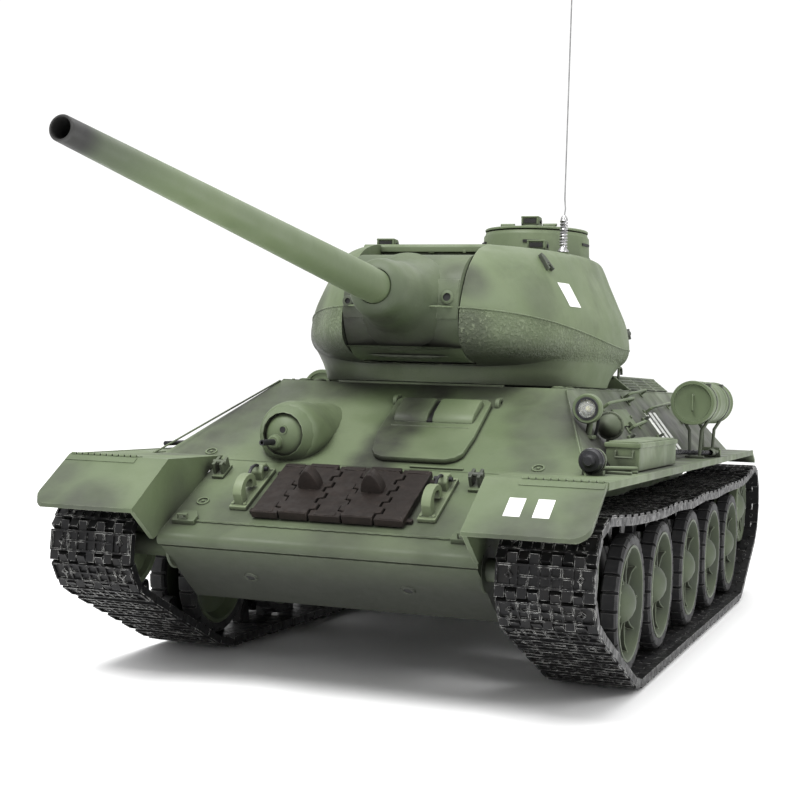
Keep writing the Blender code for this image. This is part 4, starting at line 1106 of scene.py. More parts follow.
# Height, half-width, front and rear stations of the cast body's levels
LEVELS = ((110.0, 57.4, 20.0, 138.0), (112.4, 59.2, 6.0, 147.0), (115.5, 61.6, -4.0, 157.0),
          (120.5, 62.5, -9.0, 161.5), (129.5, 60.7, -9.5, 163.0), (138.0, 57.0, -7.0, 162.0),
          (146.0, 53.3, -2.0, 160.5), (152.6, 50.5, 7.5, 158.2), (155.3, 48.9, 16.5, 156.4),
          (156.35, 47.0, 22.5, 154.4), (156.5, 45.0, 26.0, 152.0))
SMOOTH_LEVELS = smooth_line(LEVELS, 4)


def level_at(z):
    for low, high in zip(SMOOTH_LEVELS, SMOOTH_LEVELS[1:]):
        if z <= high[0]:
            return low.lerp(high, (z - low[0]) / (high[0] - low[0]))
    return SMOOTH_LEVELS[-1]


def on_body(angle, z, out=0.0, level=None):
    """A point of the turret body: 0 degrees is the left side, 90 the rear."""
    level = level or level_at(z)
    _, half, front, rear = level
    c, s = math.cos(math.radians(angle)), math.sin(math.radians(angle))
    reach, power = (rear - WIDEST, 2.25) if s > 0 else (WIDEST - front, 2.0)
    x = (half + out) * math.copysign(abs(c) ** (2 / power), c)
    y = (reach + out) * math.copysign(abs(s) ** (2 / power), s)
    return spot(x, WIDEST + y, z)


def body_angle(side, station, z):
    """The angle at which the body reaches a station."""
    _, _, front, rear = level_at(z)
    if station > WIDEST:
        share = min(1.0, (station - WIDEST) / (rear - WIDEST))
        angle = math.degrees(math.asin(share ** (2.25 / 2)))
    else:
        angle = -math.degrees(math.asin(min(1.0, (WIDEST - station) / (WIDEST - front))))
    return angle if side == LEFT else 180 - angle


def on_flank(side, station, z):
    """Axes on the turret's side: aft along the skin, up, out of it."""
    angle = body_angle(side, station, z)
    at = on_body(angle, z)
    up = (on_body(body_angle(side, station, z + 1.5), z + 1.5) - on_body(body_angle(side, station, z - 1.5),
                                                                         z - 1.5)).normalized()
    aft_way = (on_body(angle + side * 1.5, z) - on_body(angle - side * 1.5, z)).normalized()
    out = aft_way.cross(up).normalized() * side
    return Matrix.Translation(at) @ Matrix((aft_way, up, out)).transposed().to_4x4()


def seam_z(station):
    share = min(1.0, max(0.0, (station + 5) / 100))
    return 130.5 - 10.9 * (share * share * (3 - 2 * share))


def patch(surface, columns, rows, thick, sunk=0.4):
    """A thin plate over a surface function of (column, row, out)."""
    return joined([[surface(u, v, thick) for v in rows] + [surface(u, v, -sunk) for v in rows[::-1]]
                   for u in columns])


def turret_body():
    piece = Piece(turret_green)
    angles = [3 * k for k in range(120)]
    loops = [[on_body(a, level[0], level=level) for a in angles] for level in SMOOTH_LEVELS]
    piece.add(joined(loops))
    shell = piece.done("turret_casting", "turret", "hull_paint", ("turret_shell",))
    x_half = MANTLET_HALF + 0.4
    slot = [(-30, 100.0), (4, 100.0)] + arc(TRUNNION, MANTLET_R + 0.7, 240, 330, 18)
    slot += [(36.6, 124), (36.6, 146), (36.6, 175), (-30, 175)]
    room = []
    for z in (108.0, 112.8, 120.5, 129.5, 138.0, 146.0, 152.6):
        _, half, _, rear = level_at(z)
        room.append([spot(x, WIDEST + y, z) for x, y in
                     (((half - 3) * math.cos(a), (rear - 3 - WIDEST if math.sin(a) > 0 else WIDEST - 42)
                       * math.sin(a)) for a in (2 * math.pi * k / 40 for k in range(40)))])
    cupola_hole = disc("Z", spot(CUPOLA[0], CUPOLA[1], 0), 148, 170, 16.5, 32)
    loader_hole = disc("Z", spot(LOADER[0], LOADER[1], 0), 148, 170, 11.0, 28)
    carve(shell, prism([(aft(s), z) for s, z in slot], "X", -x_half, x_half), joined(room),
          box((-14, aft(30), 120), (14, aft(60), 142)), cupola_hole, loader_hole)
    shell.modifiers.new("normals", "WEIGHTED_NORMAL").keep_sharp = True


def smooth_step(value, low, high):
    share = min(1.0, max(0.0, (value - low) / (high - low)))
    return share * share * (3 - 2 * share)


def turret_base():
    """The round collar, the ring under it and the dark joint with the hull."""
    piece = Piece(turret_green, black_metal)
    profile = [(TURRET_FOOT, COLLAR_R - 5), (TURRET_FOOT, COLLAR_R - 0.5), (TURRET_FOOT + 0.5, COLLAR_R),
               (108.6, COLLAR_R), (111.0, COLLAR_R - 0.3), (113.6, COLLAR_R - 2), (113.6, COLLAR_R - 7)]
    piece.add(turned(profile, "Z", spot(0, RING_STATION, 0), 96))
    centre = spot(0, RING_STATION, 0)
    loops = []
    for n in range(9):
        share = n / 8
        z = 103.5 + 12.5 * share
        loop = []
        for angle in range(0, 360, 4):
            edge = on_body(angle, 116.0, -0.15)
            away = Vector((edge.x, edge.y - centre.y, 0)).normalized()
            foot = centre + away * COLLAR_R
            along = math.sin(math.radians(angle))
            flank = smooth_step(along, -0.92, -0.5) * (1 - smooth_step(along, 0.5, 0.85))
            spread = flank * share ** 1.2 + (1 - flank) * max(0.0, (share - 0.65) / 0.35) ** 2
            loop.append(Vector((foot.x, foot.y, z)).lerp(Vector((edge.x, edge.y, z)), spread))
        loops.append(loop)
    piece.add(joined(loops))
    ring = [(TURRET_FOOT - 4.4, 40.2), (TURRET_FOOT - 4.4, 43.4), (TURRET_FOOT + 3, 43.4),
            (TURRET_FOOT + 3, COLLAR_R - 2), (112, COLLAR_R - 2), (112, 40.2)]
    piece.add(turned(ring, "Z", spot(0, RING_STATION, 0), 72), paint=1)
    piece.done("turret_collar", "turret", "hull_paint")


def casting_seam():
    piece = Piece(turret_green)
    for side in (LEFT, RIGHT):
        line = []
        for k in range(90):
            station = -7.6 + 169.0 * k / 89
            z = seam_z(station)
            line.append(on_body(body_angle(side, station, z), z, 0.02))
        line.append(on_body(90, seam_z(163), 0.02))
        piece.add(tube(line, 0.34, 6))
    piece.done("casting_marks", "turret", "hull_paint")


def periscope_head(name, body, node, x, station, base):
    """A periscope cap with a dark window, standing on a flange."""
    piece = Piece(part_green, hole_shade_black, black_metal)
    at = Matrix.Translation(spot(x, station, base))
    piece.add(turned([(0, 0), (0, 3.9), (0.55, 3.9), (0.8, 3.6), (0.8, 0)], "Z", (0, 0, 0), 28), at)
    side = [(-2.7, 0.6), (2.7, 0.6), (2.8, 2.9), (1.6, 4.4), (-3.3, 4.6), (-3.4, 3.9), (-2.9, 3.7),
            (-2.7, 1.6)]
    piece.add(prism(side, "X", -3.8, 3.8), at, bevel=0.28)
    # Painted shade: a black block for the window.
    piece.add(box((-2.5, -3.1, 1.75), (2.5, -2.4, 3.5)), at, paint=1)
    for x_side in (-1, 1):
        piece.add(box((x_side * 3.3 - 0.35, -3.3, 1.3), (x_side * 3.3 + 0.35, -2.4, 4.0)), at, bevel=0.12)
        piece.add(disc("X", (0, -0.2, 2.4), min(x_side * 3.6, x_side * 4.3), max(x_side * 3.6, x_side * 4.3),
                       0.7, 12),
                  at, paint=2)
        piece.add(hexagon((x_side * 2.9, 2.9, 0.7), 0.45, 0.5), at)
    piece.done(name, body, "hull_paint", (node,))


def turret_roof():
    """The roof's lip over the mantlet, vents, hatch rims and lifting hooks."""
    piece = Piece(turret_green, dark_olive, hole_shade_black)
    lip = [(34.4, 153.8), (34.4, 155.9), (35.2, 156.9), (60, 157.0), (60, 156.0), (38.5, 153.6)]
    piece.add(prism([(aft(s), z) for s, z in lip], "X", -30.0, 22.2), bevel=0.35)
    piece.add(disc("X", spot(0, 35.4, 153.9), -3.0, -0.6, 0.75, 10))
    piece.add(box(spot(11.2, 34.2, 153.4), spot(12.4, 35.6, 154.6)), bevel=0.2)
    for x, station in ((-9, 139), (9, 141)):
        piece.add(turned([(156.0, 0), (156.0, 9.0), (157.2, 9.0), (157.2, 7.2), (159.4, 7.0), (161.0, 5.6),
                          (161.8, 3.0), (162.0, 0)], "Z", spot(x * 1.15, station, 0), 36))
    piece.add(turned([(156.0, 11.3), (156.0, 14.4), (156.8, 14.2), (156.8, 11.3)], "Z", spot(*LOADER, 0), 40))
    for side, station in ((LEFT, 40.5), (RIGHT, 40.5), (LEFT, 141.0), (RIGHT, 141.0)):
        lug = [(-1.9, -3.6), (-1.0, 2.6), (0, 4.0), (1.0, 2.6), (1.9, -3.6), (0.9, -3.6), (0.45, -0.8),
               (-0.45, -0.8), (-0.9, -3.6)]
        at = on_flank(side, station, 150.2)
        piece.add(prism(lug, "Z", -0.6, 1.6), at, paint=1, bevel=0.2, segments=1)
        piece.add(box((-1.5, -1.6, -0.4), (1.5, -0.9, 1.4)), at, paint=1, bevel=0.2)
    for side in (LEFT, RIGHT):
        plug = on_flank(side, 118, 127.0)
        piece.add(turned([(-0.6, 0), (-0.6, 1.7), (0.9, 1.3), (1.5, 0.6), (1.6, 0)], "Z", (0, 0, 0), 12),
                  plug, paint=1)
        piece.add(box((-0.35, -2.6, -0.6), (0.35, 2.0, 1.2)), plug, paint=1, bevel=0.2)
        hook = Matrix.Translation(on_body(90 - side * 36, 149.5)) @ turn("Z", -side * 36 * 0.9)
        piece.add(tube(smooth_line([(0, -1, 0), (0, 1.4, 0.2), (0, 3.4, 0.9), (0, 4.4, 2.0)], 4),
                       [1.0 - 0.03 * n for n in range(13)], 8), hook, paint=1)
    piece.done("turret_fittings", "turret", "hull_paint")


def turret_bar():
    """A plain white bar on each side of the turret, in place of a badge."""
    piece = Piece(white_paint)
    for side in (LEFT, RIGHT):
        def flank(u, v, out):
            z = 138.5 + v
            return on_body(body_angle(side, 47.0 + u - 0.2 * v, z), z, out)
        piece.add(patch(flank, [k - 4.0 for k in range(9)], [1.5 * k - 4.5 for k in range(7)], 0.12))
    piece.done("turret_bars", "turret", "hull_paint")


def cupola():
    piece = Piece(turret_green, hole_shade_black)
    inner = CUPOLA_R - 4.2
    top = CUPOLA_TOP
    base = TURRET_ROOF - 0.6
    centre = spot(*CUPOLA, 0)
    profile = [(base, inner), (base, CUPOLA_R + 0.6), (base + 1.4, CUPOLA_R + 0.3),
               (base + 2.2, CUPOLA_R - 0.3),
               (top - 1.8, CUPOLA_R - 0.6), (top - 1.0, CUPOLA_R - 1.2), (top - 0.1, CUPOLA_R - 1.4),
               (top - 0.1, inner)]
    piece.add(turned(profile, "Z", centre, 72))
    for k in range(5):
        at = Matrix.Translation(spot(*CUPOLA, base)) @ turn("Z", 72 * k + 10)
        piece.add(box((-3.4, -CUPOLA_R + 0.1, 6.2), (3.4, -CUPOLA_R + 1.6, 7.2)), at, paint=1)
    piece.done("cupola_ring", "turret", "hull_paint", ("cupola",))

    low = CUPOLA_TOP + GAP
    lid = Piece(turret_green, dark_olive)
    radius = CUPOLA_LID_R + 1.0
    lid.add(turned([(low, 0), (low, radius - 0.4), (low + 0.3, radius), (low + 0.9, radius),
                    (low + 1.2, radius - 0.4),
                    (low + 1.3, 15.0), (low + 1.7, 14.6), (low + 1.7, 0)], "Z", centre, 64))
    for k in range(10):
        at = Matrix.Translation(spot(*CUPOLA, low + 1.0)) @ turn("Z", 36 * k)
        lid.add(turned([(0, 0), (0, 0.8), (0.7, 0.7), (0.9, 0)], "Z", (17.4, 0, 0), 10), at)
    for x in (-9.0, 9.0):
        at = Matrix.Translation(spot(CUPOLA[0] + x, CUPOLA[1] - 12.5, low + 1.2))
        lid.add(box((-2.6, -0.9, 0), (2.6, 0.9, 1.3)), at, bevel=0.35)
        lid.add(disc("X", (0, 0, 1.2), -3.0, 3.0, 0.55, 10), at)
    hinge_y = CUPOLA[1] + CUPOLA_LID_R + 0.3
    lid.add(disc("X", spot(CUPOLA[0], hinge_y, low + 0.9), -5.0, 5.0, 0.9, 14))
    lid.add(box(spot(CUPOLA[0] - 5, hinge_y - 5, low + 0.5), spot(CUPOLA[0] + 5, hinge_y, low + 1.9)),
            bevel=0.3)
    handle = [(-3, 0, 0.4), (-3, 0, 2.2), (-2.4, 0, 2.8), (2.4, 0, 2.8), (3, 0, 2.2), (3, 0, 0.4)]
    lid.add(tube(handle, 0.45, 8), Matrix.Translation(spot(CUPOLA[0], CUPOLA[1] + 8, low + 1.2)), paint=1)
    lid.done("cupola_lid_plate", "cupola_lid", "hull_paint", ("cupola_hatch",))


def loader_hatch():
    low = TURRET_ROOF + GAP
    piece = Piece(turret_green, dark_olive)
    radius = LOADER_LID_R
    centre = spot(*LOADER, 0)
    piece.add(turned([(low, 0), (low, radius), (low + 0.7, radius), (low + 1.5, radius - 1.0),
                      (low + 1.9, radius - 3.4), (low + 2.1, 0)], "Z", centre, 56))
    hinge_y = LOADER[1] + radius + 0.3
    piece.add(disc("X", spot(LOADER[0], hinge_y, low + 0.9), -3.5, 3.5, 0.85, 14))
    piece.add(box(spot(LOADER[0] - 3.5, hinge_y - 5, low + 0.5), spot(LOADER[0] + 3.5, hinge_y, low + 1.9)),
              bevel=0.3)
    handle = [(-2.6, 0, 0.2), (-2.6, 0, 1.6), (-2, 0, 2.2), (2, 0, 2.2), (2.6, 0, 1.6), (2.6, 0, 0.2)]
    piece.add(tube(handle, 0.42, 8), Matrix.Translation(spot(LOADER[0], LOADER[1] - 4, low + 1.6)), paint=1)
    piece.done("loader_lid_plate", "loader_lid", "hull_paint", ("loader_hatch",))


def antenna():
    """A base cone, a coil spring and a thin wire."""
    piece = Piece(bright_steel)
    foot = TURRET_ROOF + GAP
    x, y, _ = spot(*ANTENNA, 0)
    piece.add(turned([(foot, 0), (foot, 2.3), (foot + 0.5, 2.2), (foot + 1.4, 1.5), (foot + 2.6, 1.0),
                      (foot + 13.2, 0.8), (foot + 13.2, 0)], "Z", (x, y, 0), 20))
    turns, coil_r = 9, 1.25
    coil = [(x + coil_r * math.cos(a), y + coil_r * math.sin(a),
             foot + 2.2 + 10.4 * a / (2 * math.pi * turns))
            for a in (2 * math.pi * turns * k / 180 for k in range(181))]
    piece.add(tube(coil, 0.42, 7))
    piece.add(turned([(foot + 12.6, 0), (foot + 12.6, 1.5), (foot + 13.6, 1.3), (foot + 14.6, 0.6),
                      (foot + 14.6, 0)], "Z", (x, y, 0), 18))
    piece.add(tube([(x, y, foot + 14), (x + 0.5, y - 0.4, foot + 17), (x, y, foot + 21),
                    (x, y, ANTENNA_TIP_Z)],
                   0.30, 8))
    piece.done("whip_antenna", "turret", "antenna_steel", ("antenna",))


def mantlet():
    piece = Piece(mantlet_green, hole_shade_black, turret_green)
    radius = MANTLET_R
    half = MANTLET_HALF
    shield = arc((0, 0), radius, 62, 298, 40)
    piece.add(prism(shield + [(-6, -17)], "X", -half, half), ON_GUN, bevel=0.35)

    def face(x, angle, out):
        a = math.radians(angle)
        return Vector((x, (radius + out) * math.cos(a), (radius + out) * math.sin(a)))
    for low, high, top, bottom in ((7.5, half - 0.3, 158.0, 200.0), (0.3 - half, -7.5, 158.0, 200.0)):
        steps = [low + (high - low) * k / 6 for k in range(7)]
        rows = [top + (bottom - top) * k / 10 for k in range(11)]
        piece.add(patch(face, steps, rows, 0.55), ON_GUN, bevel=0.2, segments=1)
    flare = [(-46.0, 6.35), (-46.0, 7.0), (-44.5, 9.5), (-42.6, 10.4), (-40, 11.0), (-34, 11.6), (-28, 12.4),
             (-24.5, 13.1), (-22, 14.0), (-19, 16.0), (-15, 18.2), (-12.5, 15.6), (-12.5, 6.35)]
    piece.add(turned(flare, "Y", (0, 0, 0), 64), ON_GUN)
    for x, angle, hole, rim in ((18.3, 178.0, 1.5, 2.1), (-20.0, 183.0, 1.1, 1.7)):
        at = ON_GUN @ Matrix.Translation(face(x, angle, 0.3)) @ turn("X", angle - 90)
        piece.add(turned([(0, hole), (0, rim + 0.5), (0.6, rim + 0.4), (0.95, rim - 0.2), (0.95, hole)], "Z",
                         (0, 0, 0), 24), at)
        # Painted shade: a black disc in each hole.
        piece.add(disc("Z", (0, 0, 0), 0, 0.4, hole + 0.05, 20), at, paint=1)
    for x, angle in ((5.8, 146), (5.4, 205), (-12.2, 205), (-10.4, 148)):
        at = ON_GUN @ Matrix.Translation(face(x, angle, 0.0)) @ turn("X", angle - 90)
        piece.add(turned([(-0.5, 0), (-0.5, 1.7), (0.45, 1.6), (0.45, 1.0), (1.1, 0.9), (1.25, 0)], "Z",
                         (0, 0, 0), 18), at)
        piece.add(box((-2.6, -0.35, -0.4), (2.6, 0.35, 0.5)), at, bevel=0.15)
    piece.done("gun_shield", "gun", "hull_paint", ("mantlet",))


def gun_barrel():
    piece = Piece(gun_green, hole_shade_black)
    tip = -MUZZLE_REACH
    profile = [(-19, 0), (-19, 6.0), (-60, 6.0), (-66, 5.92), (-120, 5.1), (tip + 1.2, 3.22),
               (tip + 0.3, 3.2),
               (tip, 3.0), (tip, 2.65), (tip + 0.3, 2.5), (tip + 22, 2.5), (tip + 22, 0)]
    piece.add(turned(profile, "Y", (0, 0, 0), 56), ON_GUN)
    # Painted shade: a black disc deep in the bore.
    piece.add(disc("Y", (0, 0, 0), tip + 20, tip + 21, 2.49, 40), ON_GUN, paint=1)
    piece.done("gun_tube", "barrel", "barrel_paint", ("gun_barrel",))


# ---------------------------------------------------------------- fittings

def headlight():
    x, y, z = spot(*HEADLIGHT)
    shell = Piece(part_green, black_metal)
    shell.add(turned([(2.6, 0), (2.6, 3.3), (-0.2, 3.3), (-1.0, 3.5), (-1.4, 4.2), (-1.4, 4.9), (-0.6, 5.3),
                      (1.2, 5.3), (1.8, 4.9), (2.4, 4.9), (6.2, 3.7), (8.2, 2.0), (8.8, 0)], "Y", (x, y, z),
                     40))
    shell.add(turned([(-1.2, 3.2), (-1.2, 4.0), (-1.7, 4.0), (-1.7, 3.2)], "Y", (x, y, z), 36), paint=1)
    shell.add(tube([(x, y + 4, z - 3), (x, y + 4.2, z - 6), (x - 0.6, y + 4.4, z - 9.6)], 1.1, 12))
    shell.add(box((x - 3.2, y + 1.4, z - 10.8), (x + 1.8, y + 7.2, z - 9.4)), bevel=0.35)
    shell.add(tube(smooth_line([(x, y + 8, z), (x + 1.5, y + 11, z - 2), (x + 0.5, y + 12.5, z - 8),
                                (x - 1, y + 13, z - 14)], 5), 0.55, 8), paint=1)
    shell.done("headlight_shell", "hull", "hull_paint", ("headlight",))
    lens = Piece(bright_steel, lamp_yellow, lens_glass)
    lens.add(turned([(2.4, 0), (2.4, 3.25), (-0.1, 3.25), (0.6, 2.4), (1.5, 1.0), (1.5, 0)], "Y", (x, y, z),
                    32))
    lens.add(turned([(1.6, 0), (1.6, 0.8), (0.4, 0.8), (-0.1, 0.5), (-0.2, 0)], "Y", (x, y, z), 16), paint=1)
    lens.add(turned([(-0.5, 0), (-0.5, 3.2), (-0.8, 3.2), (-1.5, 1.8), (-1.75, 0)], "Y", (x, y, z), 32),
             paint=2)
    lens.done("headlight_glass", "hull", "lamp_lens", ("headlight_lens",))


def horn():
    x, y, z = spot(*HORN)
    piece = Piece(dark_olive, part_green)
    piece.add(turned([(-5.2, 0), (-5.0, 1.2), (-4.3, 2.4), (-2.8, 3.6), (-0.8, 4.2), (0.0, 4.3), (0.0, 5.0),
                      (0.9, 5.2), (1.7, 5.0), (1.8, 3.8), (3.4, 3.2), (4.2, 2.4), (4.2, 0)], "Y", (x, y, z),
                     36))
    for k in range(6):
        bolt = Matrix.Translation((x, y, z)) @ turn("Y", 60 * k + 20) @ move(4.65, -0.1, 0) @ turn("X", 90)
        piece.add(hexagon((0, 0, 0), 0.4, 0.5), bolt)
    piece.add(box((x - 1.2, y + 0.3, z - 9.4), (x + 1.2, y + 2.2, z - 3)), paint=1, bevel=0.3)
    piece.add(box((x - 3.0, y - 1.6, z - 10.2), (x + 1.4, y + 3.6, z - 8.8)), paint=1, bevel=0.35)
    piece.done("signal_horn", "hull", "dark_fittings", ("horn",))


def drums():
    """Fuel drums with ribs, bands and carriers."""
    for word, side, station in DRUMS:
        piece = Piece(part_green, dark_olive)
        centre = spot(side * DRUM_X, station, DRUM_Z)
        r = DRUM_R
        profile = [(1.4, 0), (1.2, r - 2.6), (0.9, r - 1.2), (0.0, r - 0.9), (0.0, r + 0.35), (0.7, r + 0.6),
                   (1.5, r + 0.5), (2.0, r)]
        for middle in (18.5, 37.5):
            profile += [(middle - 1.3, r), (middle - 0.5, r + 0.5), (middle + 0.5, r + 0.5),
                        (middle + 1.3, r)]
        end = DRUM_LENGTH
        profile += [(end - 2.0, r), (end - 1.5, r + 0.5), (end - 0.7, r + 0.6), (end, r + 0.35),
                    (end, r - 0.9),
                    (end - 0.9, r - 1.2), (end - 1.2, r - 2.6), (end - 1.4, 0)]
        piece.add(turned(profile, "Y", centre, 56))
        x, y, z = centre
        face = Matrix.Translation((x, y, z)) @ turn("X", 90)
        handle = [(0, -3.4, -1.4), (0, -3.4, 0.3), (0, -2.8, 0.8), (0, 2.8, 0.8), (0, 3.4, 0.3),
                  (0, 3.4, -1.4)]
        piece.add(tube(handle, 0.4, 8), face)
        for along in (10.5, 46.0):
            piece.add(turned([(along - 1.0, r - 0.3), (along - 1.0, r + 0.28), (along + 1.0, r + 0.28),
                              (along + 1.0, r - 0.3)], "Y", centre, 56), paint=1)
            for lean in (-1, 1):
                strut = [(x + lean * 6.6, y + along, z - 5.4), (x + lean * 2.6, y + along, z - 12.0),
                         (x + lean * 2.0, y + along, FENDER_TOP + 0.6)]
                piece.add(tube(strut, 0.75, 8), paint=1)
            piece.add(box((x - 4.0, y + along - 1.6, FENDER_TOP + 0.1),
                          (x + 4.0, y + along + 1.6, FENDER_TOP + 1.1)),
                      paint=1, bevel=0.25)
            piece.add(box((x + side * 5.0 - 1.0, y + along - 1.3, z + 6.0),
                          (x + side * 5.0 + 1.0, y + along + 1.3, z + 8.6)),
                      paint=1, bevel=0.3)
        piece.done(f"fuel_drum_{word}_ribbed", "hull", "hull_paint", (f"fuel_drum_{word}",))


def toolbox():
    piece = Piece(part_green, dark_olive)
    y0, y1 = aft(-2), aft(69)
    outline = [(77.5, 84.2), (77.5, 78.4), (80.2, FENDER_TOP + GAP), (89.4, FENDER_TOP + GAP), (89.4, 84.2)]
    piece.add(prism(outline, "Y", y0, y1), bevel=0.5)
    piece.add(box((77.0, y0 - 0.6, 82.8), (89.9, y1 + 0.6, 84.6)), bevel=0.45)
    piece.add(box((78.2, y0 + 0.8, 84.3), (88.8, y1 - 0.8, 85.1)), bevel=0.4)
    front = [(81.2, y0 + 0.2, 82.0), (81.2, y0 - 1.4, 81.4), (81.2, y0 - 1.6, 79.6), (87.2, y0 - 1.6, 79.6),
             (87.2, y0 - 1.4, 81.4), (87.2, y0 + 0.2, 82.0)]
    piece.add(tube(front, 0.4, 8), paint=1)
    piece.done("toolbox_body", "hull", "hull_paint", ("toolbox",))


def side_fittings():
    """Grab rails, clamps, brackets, stowage and the tow cable on the hull's sides."""
    for word, side in SIDES:
        piece = Piece(part_green, dark_olive, black_metal)

        def at(station, up, out=0.0):
            return on_side(side) @ Vector((station, up, out))

        def rail(start, end, rise=3.6, radius=0.62):
            ends = [at(*start), at(start[0], start[1], rise)]
            ends += [at(end[0], end[1], rise), at(*end)]
            bar = [ends[0], ends[0].lerp(ends[1], 0.8), ends[1].lerp(ends[2], 0.04),
                   ends[1].lerp(ends[2], 0.96),
                   ends[3].lerp(ends[2], 0.8), ends[3]]
            piece.add(tube(bar, radius, 10))
            for foot in (start, end):
                plate = on_side(side) @ move(foot[0], foot[1], 0)
                piece.add(box((-1.5, -1.5, -0.1), (1.5, 1.5, 0.5)), plate, bevel=0.2)
        rail((56, 26.6), (112, 29.4))
        rail((74, 15.6), (100, 17.4))
        rail((108, 31.4), (152, 34.0))
        rail((133, 24.0), (196, 27.2))
        for station, up in ((118, 20), (122, 11), (66, 12), (204, 18)):
            plate = on_side(side) @ move(station, up, 0)
            piece.add(box((-2.6, -1.1, -0.1), (2.6, 1.1, 1.0)), plate, bevel=0.3)
            piece.add(tube([(-1.6, 0, 0.8), (-1.6, 0, 2.6), (1.6, 0, 2.6), (1.6, 0, 0.8)], 0.5, 8), plate,
                      paint=1)
        plate = on_side(side) @ move(82, 21.5, 0)
        piece.add(box((-13, -4.0, -0.2), (13, 4.2, 0.8)), plate, bevel=0.35)
        for k in (-10.5, 10.5):
            piece.add(hexagon((k, 0, 0.7), 0.8, 0.7), plate)
        piece.add(box((-2.2, -5.4, 0.4), (2.2, -2.6, 2.0)), plate, bevel=0.3)
        cable = [(78.6, 72.0, 77.6)] if side == LEFT else [(84.5, 34, 77.2), (80.6, 60, 77.0)]
        cable += [(79.8, 84, 77.4), (79.2, 104, 77.6), (79.4, 122, 77.4), (81.4, 136, 77.2),
                  (86.6, 146, 76.9), (89.4, 158, 76.7)]
        line = smooth_line([spot(side * x, y, z) for x, y, z in cable], 8)
        for strand in range(3):
            twisted = []
            for k, point in enumerate(line):
                a = 2 * math.pi * (strand / 3 + k * 0.19)
                twisted.append(point + Vector((0.55 * math.cos(a), 0, 0.55 * math.sin(a))))
            piece.add(tube(twisted, 0.62, 7), paint=2)
        eye = line[-1]
        ring = [eye + Vector((side * 2.2 * math.sin(a) * 0.9, 3.4 - 3.2 * math.cos(a), 0.3)) for a in
                (2 * math.pi * k / 20 for k in range(20))]
        piece.add(tube(ring, 0.7, 8, closed=True), paint=1)
        piece.add(turned([(-3.6, 1.3), (-3.6, 1.55), (2.6, 1.9), (2.6, 1.2)], "Y", eye, 14), paint=1)
        low, high = sorted((side * 83.8, side * 92.6))
        piece.add(box((low, eye.y + 6.0, FENDER_TOP), (high, eye.y + 8.4, FENDER_TOP + 3.4)), bevel=0.4)
        piece.add(disc("X", (0, eye.y + 7.2, FENDER_TOP + 3.2), low + 0.6, high - 0.6, 1.1, 12), paint=1)
        piece.done(f"side_fittings_{word}", "hull", "dark_fittings")
        saw = Piece(part_green, dark_olive, black_metal)
        for station in (-20, -10) if side == LEFT else (20, 60):
            low, high = sorted((side * 78.4, side * 90.6))
            saw.add(box((low, aft(station) - 1.0, FENDER_TOP), (high, aft(station) + 1.0, FENDER_TOP + 1.0)),
                    bevel=0.25)
        if side == LEFT:
            saw.add(tube([spot(79.4, -25, 76.6), spot(89.6, -8, 76.2)], 0.8, 10))
            cap = spot(80.2, -34.0, 79.4)
            saw.add(turned([(-5.4, 0), (-5.4, 1.4), (-4.6, 2.0), (-3.6, 2.2), (-3.4, 3.4), (-1.2, 3.9),
                            (-1.0, 4.2),
                            (0.6, 4.2), (0.8, 3.7), (7.5, 3.4), (8.2, 2.8), (8.2, 0)], "Y", cap, 32), paint=2)
            saw.add(turned([(2.6, 3.3), (2.6, 4.1), (4.2, 4.1), (4.2, 3.3)], "Y", cap, 32), paint=1)
            saw.add(box(spot(76.6, -32.4, FENDER_TOP - 0.1), spot(83.8, -29.2, FENDER_TOP + 1.6)), bevel=0.3)
        else:
            blade = [(0, -1.6), (52, -1.6), (56, 0.4), (52, 2.4), (4, 3.0), (0, 2.2)]
            saw.add(prism(blade, "Z", 0.3, 1.1), Matrix.Translation(spot(-85, 14,
                                                                         FENDER_TOP + 0.8)) @ turn("Z", 90),
                    paint=1, bevel=0.2)
            saw.add(tube([spot(-90.5, -10, 76.8), spot(-90.5, 62, 76.8)], 0.95, 10), paint=2)
        saw.done(f"fender_tools_{word}", "hull", "dark_fittings")


def numbers_band():
    """Plain white bars in place of the numerals on the mudguard and the hull sides."""
    piece = Piece(white_paint)
    slope = math.atan2(FENDER_TOP - 59.4, 93.0 - 70.3)
    flap = Matrix.Translation(spot(0, -93.0, 59.4)) @ turn("X", math.degrees(slope))
    for x in (68.5, 77.5):
        piece.add(box((x - 2.6, 8.6, -0.3), (x + 2.6, 17.6, 0.12)), flap, bevel=0.1, segments=1)
    for side in (LEFT, RIGHT):
        for station in (134.0, 143.5, 153.0):
            piece.add(box((station - 2.6, 4.0, -0.3), (station + 2.6, 24.0, 0.14)), on_side(side),
                      bevel=0.1, segments=1)
    piece.done("plain_white_bars", "hull", "hull_paint")


